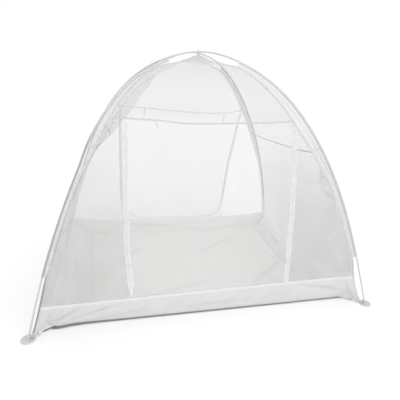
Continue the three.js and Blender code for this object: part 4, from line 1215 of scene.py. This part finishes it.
def groundsheet():
    inner = np.linspace(EAR_U, 1 - EAR_U, FLOOR_GRID)
    front, right, back, left = (hem_line(name, inner) for name in ("front", "right", "back", "left"))
    back, left = back[::-1], left[::-1]
    corners = {
        (0, 0): (front[0] + left[0]) / 2,
        (0, 1): (front[-1] + right[0]) / 2,
        (1, 1): (right[-1] + back[-1]) / 2,
        (1, 0): (back[0] + left[-1]) / 2,
    }
    front[0] = left[0] = corners[0, 0]
    front[-1] = right[0] = corners[0, 1]
    back[-1] = right[-1] = corners[1, 1]
    back[0] = left[-1] = corners[1, 0]
    s = np.linspace(0, 1, FLOOR_GRID)
    a, b = np.meshgrid(s, s, indexing="ij")
    a = np.where(a < FRONT_FINE, a * (0.3 + 0.7 * a / FRONT_FINE), a)
    left = np.stack([np.interp(a[:, 0], s, left[:, k]) for k in range(3)], -1)
    right = np.stack([np.interp(a[:, 0], s, right[:, k]) for k in range(3)], -1)
    a, b = a[..., None], b[..., None]
    points = (1 - a) * front[None] + a * back[None] + (1 - b) * left[:, None] + b * right[:, None]
    for (m, n), corner in corners.items():
        points = points - (a if m else 1 - a) * (b if n else 1 - b) * corner
    edge = np.minimum(np.minimum(4 * a, 1 - a), np.minimum(b, 1 - b))[..., 0] * SHEET_DEPTH
    beside = smooth_step(a[..., 0], *DOOR_SIDE)
    rise = (1 - smooth_step(edge, 0, RISE_REACH)) * beside
    wrinkle = ridges(FLOOR_FOLDS, points[..., 0], points[..., 1], FOLD_ENDS)
    soft = SHEET_SOFT * (1 + ripple(points[..., 0] + 0.4 * points[..., 1], (0.23, 0.37, 0.13), 5))
    hem_height = points[..., 2] + OVER_HEM
    points[..., 2] = FLOOR_TOP + (hem_height - FLOOR_TOP) * rise + (wrinkle + soft) * (1 - rise)
    piece = cloth_piece("floor_cloth", points)
    from_front = a[..., 0] * np.linalg.norm(back - front, axis=1)[None, :]
    # painted shadow of the hem along the door side, and painted shade on the creases
    margin = np.interp(points[..., 0], *HEM_SHADOW_REACH)
    shade_by_place = 1 - smooth_step(from_front, margin * 0.6, margin * 1.4)
    share_of_points(piece, "painted_shade", np.maximum(shade_by_place, np.clip(wrinkle / SHEET_FOLD, 0, 1) * FOLD_SHADE))
    piece.data.materials.append(sheet_finish)
    return piece


piece = groundsheet()
stand_for(piece, "groundsheet", "groundsheet")


# ---------------------------------------------------------------- long side seam and door edges
# An 11 mm tape over the seam that crosses the door's wall, and the two edges of the zipped
# opening: 30 mm wide tapes with a fine zip sewn down the middle, a little cockled.
SEAM_TAPE = dict(width=0.011, off=0.0034)
FRONT_SEAM = [
    (-0.592, 1.064), (-0.450, 1.056), (-0.300, 1.050), (-0.160, 1.040), (0.070, 1.047),
    (0.270, 1.061), (0.400, 1.071), (0.484, 1.084), (0.532, 1.085),
]
LEFT_ZIP = dict(
    places=[
        (-0.501, 1.036), (-0.504, 0.895), (-0.506, 0.694), (-0.505, 0.544), (-0.505, 0.392),
        (-0.500, 0.340), (-0.495, 0.289), (-0.490, 0.236), (-0.486, 0.196),
    ],
    width=0.030, off=0.0027,
)
RIGHT_ZIP = dict(
    places=[
        (0.503, 1.062), (0.501, 0.916), (0.490, 0.800), (0.477, 0.685), (0.462, 0.570),
        (0.448, 0.455), (0.432, 0.340), (0.419, 0.222), (0.418, 0.160),
    ],
    width=0.031, off=0.0034,
)
TAPE_COLUMNS = 13
TAPE_SINK = 0.35  # share of its stand-off by which a tape may dip towards the net
COIL_HALF, COIL_SOFT = 0.0022, 0.0006  # half the width of a zip's coil, and its blurred edge
TOOTH_PITCH = 0.0016
STITCH_OUT, STITCH_PITCH = 0.0065, 0.0035  # the rows of stitching, from the middle


def on_wall(name, place, height):
    """Points on a creased wall, from the distance along its side and the height, and normals."""
    axis = along_axis(name)
    target = np.asarray(place, float) + SHIFT_Y * axis
    height = np.asarray(height, float)

    def share_at(t):
        first = wall_point(name, 0, t)[..., axis]
        second = wall_point(name, 1, t)[..., axis]
        return np.clip((target - first) / (second - first), 0, 1)

    low = np.full(target.shape, SEAM_T)
    high = np.full(target.shape, WALL_TOP_T)
    for _ in range(26):
        middle = (low + high) / 2
        under = wall_point(name, share_at(middle), middle)[..., 2] < height
        low = np.where(under, middle, low)
        high = np.where(under, high, middle)
    u = share_at(low)
    before, after = np.maximum(u - 0.01, 0), np.minimum(u + 0.01, 1)
    across = wall_point(name, after, low) - wall_point(name, before, low)
    upward = wall_point(name, u, low + 0.005) - wall_point(name, u, low - 0.005)
    normal = outwards(unit(np.cross(across, upward)), name)
    point = wall_point(name, u, low)
    lift = ridges(CREASES[name], point[..., axis], point[..., 2], CREASE_ENDS)
    return point + normal * lift[..., None], normal


def path_over(places, spacing):
    """Evenly spaced places on a smooth line through the named ones."""
    p = np.array(places, float)
    p = np.vstack([2 * p[0] - p[1], p, 2 * p[-1] - p[-2]])
    line = []
    for i in range(1, len(p) - 2):
        gaps = np.sqrt(np.linalg.norm(np.diff(p[i - 1:i + 3], axis=0), axis=1))
        t0, t1, t2, t3 = np.concatenate([[0], np.cumsum(gaps)])
        t = np.linspace(t1, t2, 60, endpoint=i == len(p) - 3)[:, None]
        a1 = (t1 - t) / (t1 - t0) * p[i - 1] + (t - t0) / (t1 - t0) * p[i]
        a2 = (t2 - t) / (t2 - t1) * p[i] + (t - t1) / (t2 - t1) * p[i + 1]
        a3 = (t3 - t) / (t3 - t2) * p[i + 1] + (t - t2) / (t3 - t2) * p[i + 2]
        b1 = (t2 - t) / (t2 - t0) * a1 + (t - t0) / (t2 - t0) * a2
        b2 = (t3 - t) / (t3 - t1) * a2 + (t - t1) / (t3 - t1) * a3
        line.append((t2 - t) / (t2 - t1) * b1 + (t - t1) / (t2 - t1) * b2)
    line = np.concatenate(line)
    run = run_along(line)
    even = np.linspace(0, run[-1], max(3, round(run[-1] / spacing)))
    return np.stack([np.interp(even, run, line[:, 0]), np.interp(even, run, line[:, 1])], -1)


def wall_tape(title, wall, places, width, off, finish, cockle=0.0, coil=0.0, seed=1, spacing=0.006,
              shaded=0.12, shade_by_place=((0, 1), (0, 0))):
    """A tape on a wall. cockle is how far its edges wave, coil the height of a zip's teeth, shaded
    how dark painted shade makes it where it twists out, and its last argument gives heights above
    the ground and how dark painted shade makes the tape there.
    """
    path = path_over(places, spacing)
    at, normal = on_wall(wall, path[:, 0], path[:, 1])
    centre = at + normal * off
    run = run_along(centre)
    side = unit(np.cross(np.gradient(centre, axis=0), normal))
    share = np.linspace(-0.5, 0.5, TAPE_COLUMNS)
    twist = cockle * ripple(run, (0.075, 0.13, 0.21), seed)
    flutter = cockle * ripple(run, (0.034, 0.055), seed + 3)
    lift = twist[:, None] * share[None, :] * 2 + flutter[:, None] * (2 * share[None, :]) ** 2
    lift = np.maximum(lift, -TAPE_SINK * off) + coil * np.exp(-((share[None, :] * width / COIL_HALF) ** 2))
    sway = cockle * 0.5 * ripple(run, (0.16, 0.27), seed + 5)
    points = centre[:, None] + side[:, None] * (share[None, :, None] * width + sway[:, None, None])
    points = points + normal[:, None] * lift[..., None]
    piece = cloth_piece(title, points)
    # painted shade where the tape twists out, and by height
    dark = np.clip(twist / max(cockle, 1e-6), 0, 1) * shaded + np.interp(path[:, 1], *shade_by_place)
    share_of_points(piece, "painted_shade", dark[:, None] + 0 * lift)
    piece.data.materials.append(finish)
    return piece


def zip_of(name, dark, light, coil, backlit):
    """A zip's tape with two rows of stitching and a fine coil down its middle."""
    finish, tree = new_finish(name)
    across, along = cut_ways(tree)
    from_middle = across.maths("ABSOLUTE", across)
    teeth = from_middle.rise(COIL_HALF + COIL_SOFT, COIL_HALF)
    weave = across.wave(0.0012) * along.wave(0.0010)
    row = from_middle.maths("ABSOLUTE", from_middle - STITCH_OUT).rise(0.0007, 0.0003)
    height = weave * 0.4 + row * along.wave(STITCH_PITCH) + teeth * along.wave(TOOTH_PITCH)
    relief = Wire.node(tree, "Bump", None, {"Strength": 0.5, "Distance": 0.0004, "Height": height})
    cloth = grain(tree, 40, 3.0).rise(0.35, 0.65).blend(dark, light)
    closed_finish(tree, {
        # painted shade darkens the zip's tape where its points ask for it
        "Base Color": teeth.blend(deepened(tree, cloth, marked(tree, "painted_shade"), 0.72), coil),
        "Roughness": teeth * -0.35 + 0.8,
        "Normal": relief,
    }, backlit)
    return finish


zip_finish = zip_of("door_zip", (0.90, 0.90, 0.89, 1), (0.96, 0.96, 0.95, 1), (0.86, 0.86, 0.85, 1), 0.35)
# painted shade: the front seam tape is darker than the same tape elsewhere
seam_finish = woven("seam_tape", (0.74, 0.74, 0.73, 1), (0.80, 0.80, 0.79, 1), 0.0012, 0.0003)
piece = wall_tape("front_seam", "front", FRONT_SEAM, **SEAM_TAPE, finish=seam_finish, cockle=0.0006)
stand_for(piece, "tape", "front_seam_tape")
for side, row, seed in (("left", LEFT_ZIP, 3), ("right", RIGHT_ZIP, 8)):
    piece = wall_tape(f"door_zip_{side}", "front", **row, finish=zip_finish, cockle=0.0016, coil=0.0010,
                      seed=seed, shaded=0.30)
    stand_for(piece, "tape", f"front_zip_tape_{side}")


# ---------------------------------------------------------------- back seam and back zip
# The same seam tape across the back wall, and a 20 mm zip in the shape of a wide U that runs
# down, along above the skirt and up again.
BACK_SEAM = [
    (-0.590, 1.122), (-0.450, 1.116), (-0.319, 1.111), (-0.150, 1.103), (0.135, 1.098),
    (0.350, 1.111), (0.468, 1.132), (0.578, 1.148),
]
BACK_ZIP = [
    (0.466, 1.112), (0.453, 1.012), (0.448, 0.650), (0.447, 0.298), (0.438, 0.220), (0.403, 0.165),
    (0.314, 0.134), (0, 0.128), (-0.300, 0.134), (-0.410, 0.168), (-0.470, 0.215), (-0.488, 0.300),
    (-0.497, 0.600), (-0.505, 1.011), (-0.506, 1.096),
]
# painted light: these tapes are paler than the same tape elsewhere
painted_light_tape = woven("painted_light_tape", (0.95, 0.95, 0.94, 1), (0.98, 0.98, 0.97, 1), 0.0012, 0.0002)
piece = wall_tape("back_seam", "back", BACK_SEAM, **SEAM_TAPE, finish=painted_light_tape, cockle=0.0006)
stand_for(piece, "tape", "back_seam_tape")
# painted light in its paler colours, and painted shade that darkens its upright runs above 0.4 m
back_zip_finish = zip_of("back_zip", (0.96, 0.96, 0.95, 1), (0.98, 0.98, 0.97, 1),
                         (0.95, 0.95, 0.94, 1), 0.75)
piece = wall_tape("back_zip", "back", BACK_ZIP, width=0.020, off=0.0034, finish=back_zip_finish,
                  cockle=0.0010, coil=0.0010, seed=12, shaded=0.0, shade_by_place=((0.16, 0.40), (0, 0.85)))
stand_for(piece, "zip", "back_zip_tape")


# ---------------------------------------------------------------- short side seams
# One level seam tape across each short wall, a little lower than on the long ones.
SIDE_SEAM = [
    (-0.498, 0.908), (-0.398, 0.907), (-0.319, 0.910), (-0.234, 0.917), (-0.044, 0.928),
    (0.117, 0.939), (0.470, 0.958),
]
# painted shade: the short walls' seam tape is much darker than the same tape elsewhere
side_finish = woven("side_seam_tape", (0.52, 0.52, 0.51, 1), (0.59, 0.59, 0.58, 1), 0.0012, 0.0003)
for side, off in (("left", 0.0026), ("right", 0.0034)):
    piece = wall_tape(f"{side}_seam", side, SIDE_SEAM, width=0.010, off=off, finish=side_finish,
                      cockle=0.0005)
    stand_for(piece, "tape", f"seam_tape_{side}")


# ---------------------------------------------------------------- zip slider
# A small moulded slider with a short pull tab, at the foot of the door's left zip.
plastic_finish, tree = new_finish("moulded_white")
speck = grain(tree, 1200, 2.0)
relief = Wire.node(tree, "Bump", None, {"Strength": 0.2, "Distance": 0.0001, "Height": speck})
closed_finish(tree, {
    "Base Color": speck.rise(0.3, 0.7).blend((0.84, 0.84, 0.83, 1), (0.90, 0.90, 0.89, 1)),
    "Roughness": speck * 0.15 + 0.3,
    "Normal": relief,
})
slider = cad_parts["zip_slider"]
slider.data.materials.clear()
slider.data.materials.append(plastic_finish)


# ---------------------------------------------------------------- tie tab and ring
# A narrow loop of tape below the door's seam holds a plastic ring for tying the door back.
TAB = dict(
    place=-0.326, top=1.045, width=0.012, length=0.034, depth=0.0042, room=0.0032, cloth=0.001,
    corner=0.0019,
)
RING = dict(radius=0.009, wire=0.0012, sag=0.0029)
TAPE_THICK = 0.0011
TAB_OFF = SEAM_TAPE["off"] + TAPE_THICK / 2 + TAB["room"] / 2 + TAB["cloth"] + 2 * SEAM_CLEAR


def square_on(wall, place, height, off):
    """The middle, level way and upward way of a small piece set on a wall, and the way out."""
    at, normal = on_wall(wall, np.array([place]), np.array([height]))
    at, normal = at[0], normal[0]
    level = unit(np.cross([0, 0, 1.0], normal))
    return at + normal * off, level, np.cross(normal, level), normal


at, level, upward, outward = square_on("front", TAB["place"], TAB["top"], TAB_OFF)
x, z = rounded_loop(TAB["depth"], TAB["length"] + TAB["cloth"], TAB["corner"], 72)
middle = at + outward * x[:, None] + upward * (z - TAB["length"] / 2)[:, None]
piece = band_loop("tie_loop", middle, level, TAB["width"], 0.0008)
piece.data.materials.append(painted_light_tape)
stand_for(piece, "tape", "tie_tab")

RING_SIDES, RING_STEPS = 16, 72
centre = at + upward * (-TAB["length"] - RING["radius"] + RING["wire"] + SEAM_CLEAR + RING["sag"])
turn = (np.arange(RING_STEPS) * 2 * math.pi / RING_STEPS)[:, None, None]
tube = (np.arange(RING_SIDES) * 2 * math.pi / RING_SIDES)[None, :, None]
radial = level * np.cos(turn) + upward * np.sin(turn)
points = centre + radial * (RING["radius"] + RING["wire"] * np.cos(tube))
points = points + outward * RING["wire"] * np.sin(tube)
faces = grid_faces(RING_STEPS, RING_SIDES, closed_rows=True, closed_columns=True)
piece = mesh_piece("moulded_ring", points.reshape(-1, 3), faces)
weld(piece, 1e-7)
piece.data.materials.append(plastic_finish)
stand_for(piece, "hard_trim", "tie_ring")


# ---------------------------------------------------------------- back tabs
# Two flat tabs of 15 mm tape hang below the back seam.
FLAT_TABS = [
    # side, place, top, length, off the net
    ("left", -0.328, 1.104, 0.048, 0.0036),
    ("right", 0.306, 1.098, 0.054, 0.0028),
]
for side, place, top, length, off in FLAT_TABS:
    ends = [(place, top), (place, top - length)]
    piece = wall_tape(f"flat_tab_{side}", "back", ends, width=0.015, off=off, finish=painted_light_tape,
                      cockle=0.0005, spacing=0.002)
    stand_for(piece, "tape", f"back_tab_{side}")


# ---------------------------------------------------------------- tag on the sleeve
# A plain white tag sewn flat to the fin of the front right sleeve.
TAG_T = (0.492, 0.498)
TAG = dict(start=0.0075, end_gap=0.0005, stand=0.0030, curl=0.0005, rows=12, columns=14)
tag_finish = woven("plain_tag", (0.96, 0.96, 0.95, 1), (0.98, 0.98, 0.97, 1), 0.0009, 0.0001, backlit=0.6)
t = np.linspace(*TAG_T, TAG["rows"])
at, _, inside, side = leg_frame("fr", t)
fin = through(*INSETS["fr"], t) - BINDING_HALF - SEAM_CLEAR
share = np.linspace(0, 1, TAG["columns"])[None, :]
reach = TAG["start"] + (fin[:, None] - TAG["end_gap"] - TAG["start"]) * share
bow = TAG["curl"] * np.sin(math.pi * share) ** 2 * np.linspace(0.4, 1, TAG["rows"])[:, None]
stand = TAG["stand"] + bow
points = at[:, None] + inside[:, None] * reach[..., None] + side[:, None] * stand[..., None]
piece = cloth_piece("plain_tag", points)
piece.data.materials.append(tag_finish)
stand_for(piece, "tape", "sleeve_tag")


# ---------------------------------------------------------------- corner patch
# A second layer of close net that backs the right wall beside its front sleeve. It is cut in a
# curve along its foot and pulled into short creases.
PATCH = dict(
    rail=[0.634, 0.650, 0.672, 0.700, 0.740, 0.780, 0.806],
    z=[0.642, 0.652, 0.668, 0.700, 0.740, 0.780, 0.804],
    out=[-0.560, -0.515, -0.458, -0.460, -0.476, -0.496, -0.512],
)
PAST_RAIL = -0.735  # beyond the wall's front edge, so that these places fall on its seam
PATCH_CLEAR = 0.009
PATCH_OFF = 0.0019
PATCH_PULL, PATCH_DIP = 0.0010, 0.0008  # how far it is pulled out, and the most it may dip
PATCH_ROWS, PATCH_COLUMNS = 40, 30
PATCH_COVER = 0.24
PATCH_EDGE = 0.60
PATCH_CREASED = 0.25  # added to its cover in a trough
row_at = np.linspace(0, len(PATCH["rail"]) - 1, PATCH_ROWS)
marks = np.arange(len(PATCH["rail"]))
low = through(marks, PATCH["rail"], row_at)
rail, _ = on_wall("right", np.full(PATCH_ROWS, PAST_RAIL), low)
first = rail[:, 1] - SHIFT_Y + PATCH_CLEAR
share = np.linspace(0, 1, PATCH_COLUMNS)[None, :]
place = first[:, None] + (through(marks, PATCH["out"], row_at) - first)[:, None] * share
height = low[:, None] + (through(marks, PATCH["z"], row_at) - low)[:, None] * share
points, normal = on_wall("right", place, height)
pull = PATCH_PULL * ripple(height + 0.35 * place, (0.028, 0.041, 0.060), 4) * np.sin(math.pi * share)
points = points + normal * (PATCH_OFF + np.maximum(pull, -PATCH_DIP))[..., None]
piece = cloth_piece("corner_patch_cloth", points)
close = PATCH_COVER + PATCH_CREASED * np.clip(-pull / PATCH_PULL, 0, 1)
share_of_points(piece, "cover", edged_cover(points, close, PATCH_EDGE))
piece.data.materials.append(net_finish)
stand_for(piece, "cloth", "corner_patch")


# ---------------------------------------------------------------- straps to the feet
# A 26 mm tape from each corner of the hem, over the rim of the foot to the cup, where it is
# fixed under the pole's end.
STRAP = dict(width=0.026, low=0.0055, over=0.0094, end=0.0096, start=0.003, wave=0.0006, rows=40, columns=13)
CUP_GAP = 0.004
BEND = 0.001  # in from the rim, where the strap starts to turn down
FALL = (0.006, 0.0012)  # out from the rim, and above its low part, where the turn ends
FOOT_RADIUS, FOOT_RIM = 0.034, 0.0065
strap_finish = woven("strap_tape", (0.80, 0.80, 0.79, 1), (0.88, 0.88, 0.87, 1), 0.0013, 0.0004)


def strap(leg, seed):
    foot_at = np.array([*LEGS[leg]["foot"], 0.0])
    away = np.array([*HEM_CORNERS[leg], 0.0]) - foot_at
    length = np.linalg.norm(away)
    away = away / length
    sideways = np.cross(away, [0, 0, 1.0])
    marks = [
        # out from the foot's middle, height
        (STRAP["end"] + CUP_GAP, STRAP["over"]),
        (FOOT_RADIUS - FOOT_RIM, STRAP["over"]),
        (FOOT_RADIUS - BEND, STRAP["over"]),
        (FOOT_RADIUS + FALL[0], STRAP["low"] + FALL[1]),
        (length - STRAP["start"], STRAP["low"]),
    ]
    out = np.linspace(marks[0][0], marks[-1][0], STRAP["rows"])
    height = through([m[0] for m in marks], [m[1] for m in marks], out)
    share = np.linspace(-0.5, 0.5, STRAP["columns"])
    wave = STRAP["wave"] * ripple(out[:, None] + 0.3 * share[None, :] * STRAP["width"], (0.017, 0.029), seed)
    points = foot_at + away * out[:, None, None] + sideways * (share * STRAP["width"])[None, :, None]
    points[..., 1] += SHIFT_Y
    points[..., 2] = height[:, None] + wave
    piece = cloth_piece(f"corner_strap_{leg}", points)
    # painted shade in the troughs of the strap's waves
    share_of_points(piece, "painted_shade", np.clip(-wave / STRAP["wave"], 0, 1) * 0.5)
    piece.data.materials.append(strap_finish)
    return piece


for seed, leg in enumerate(LEGS):
    piece = strap(leg, seed + 50)
    stand_for(piece, "tape", f"strap_{leg}")
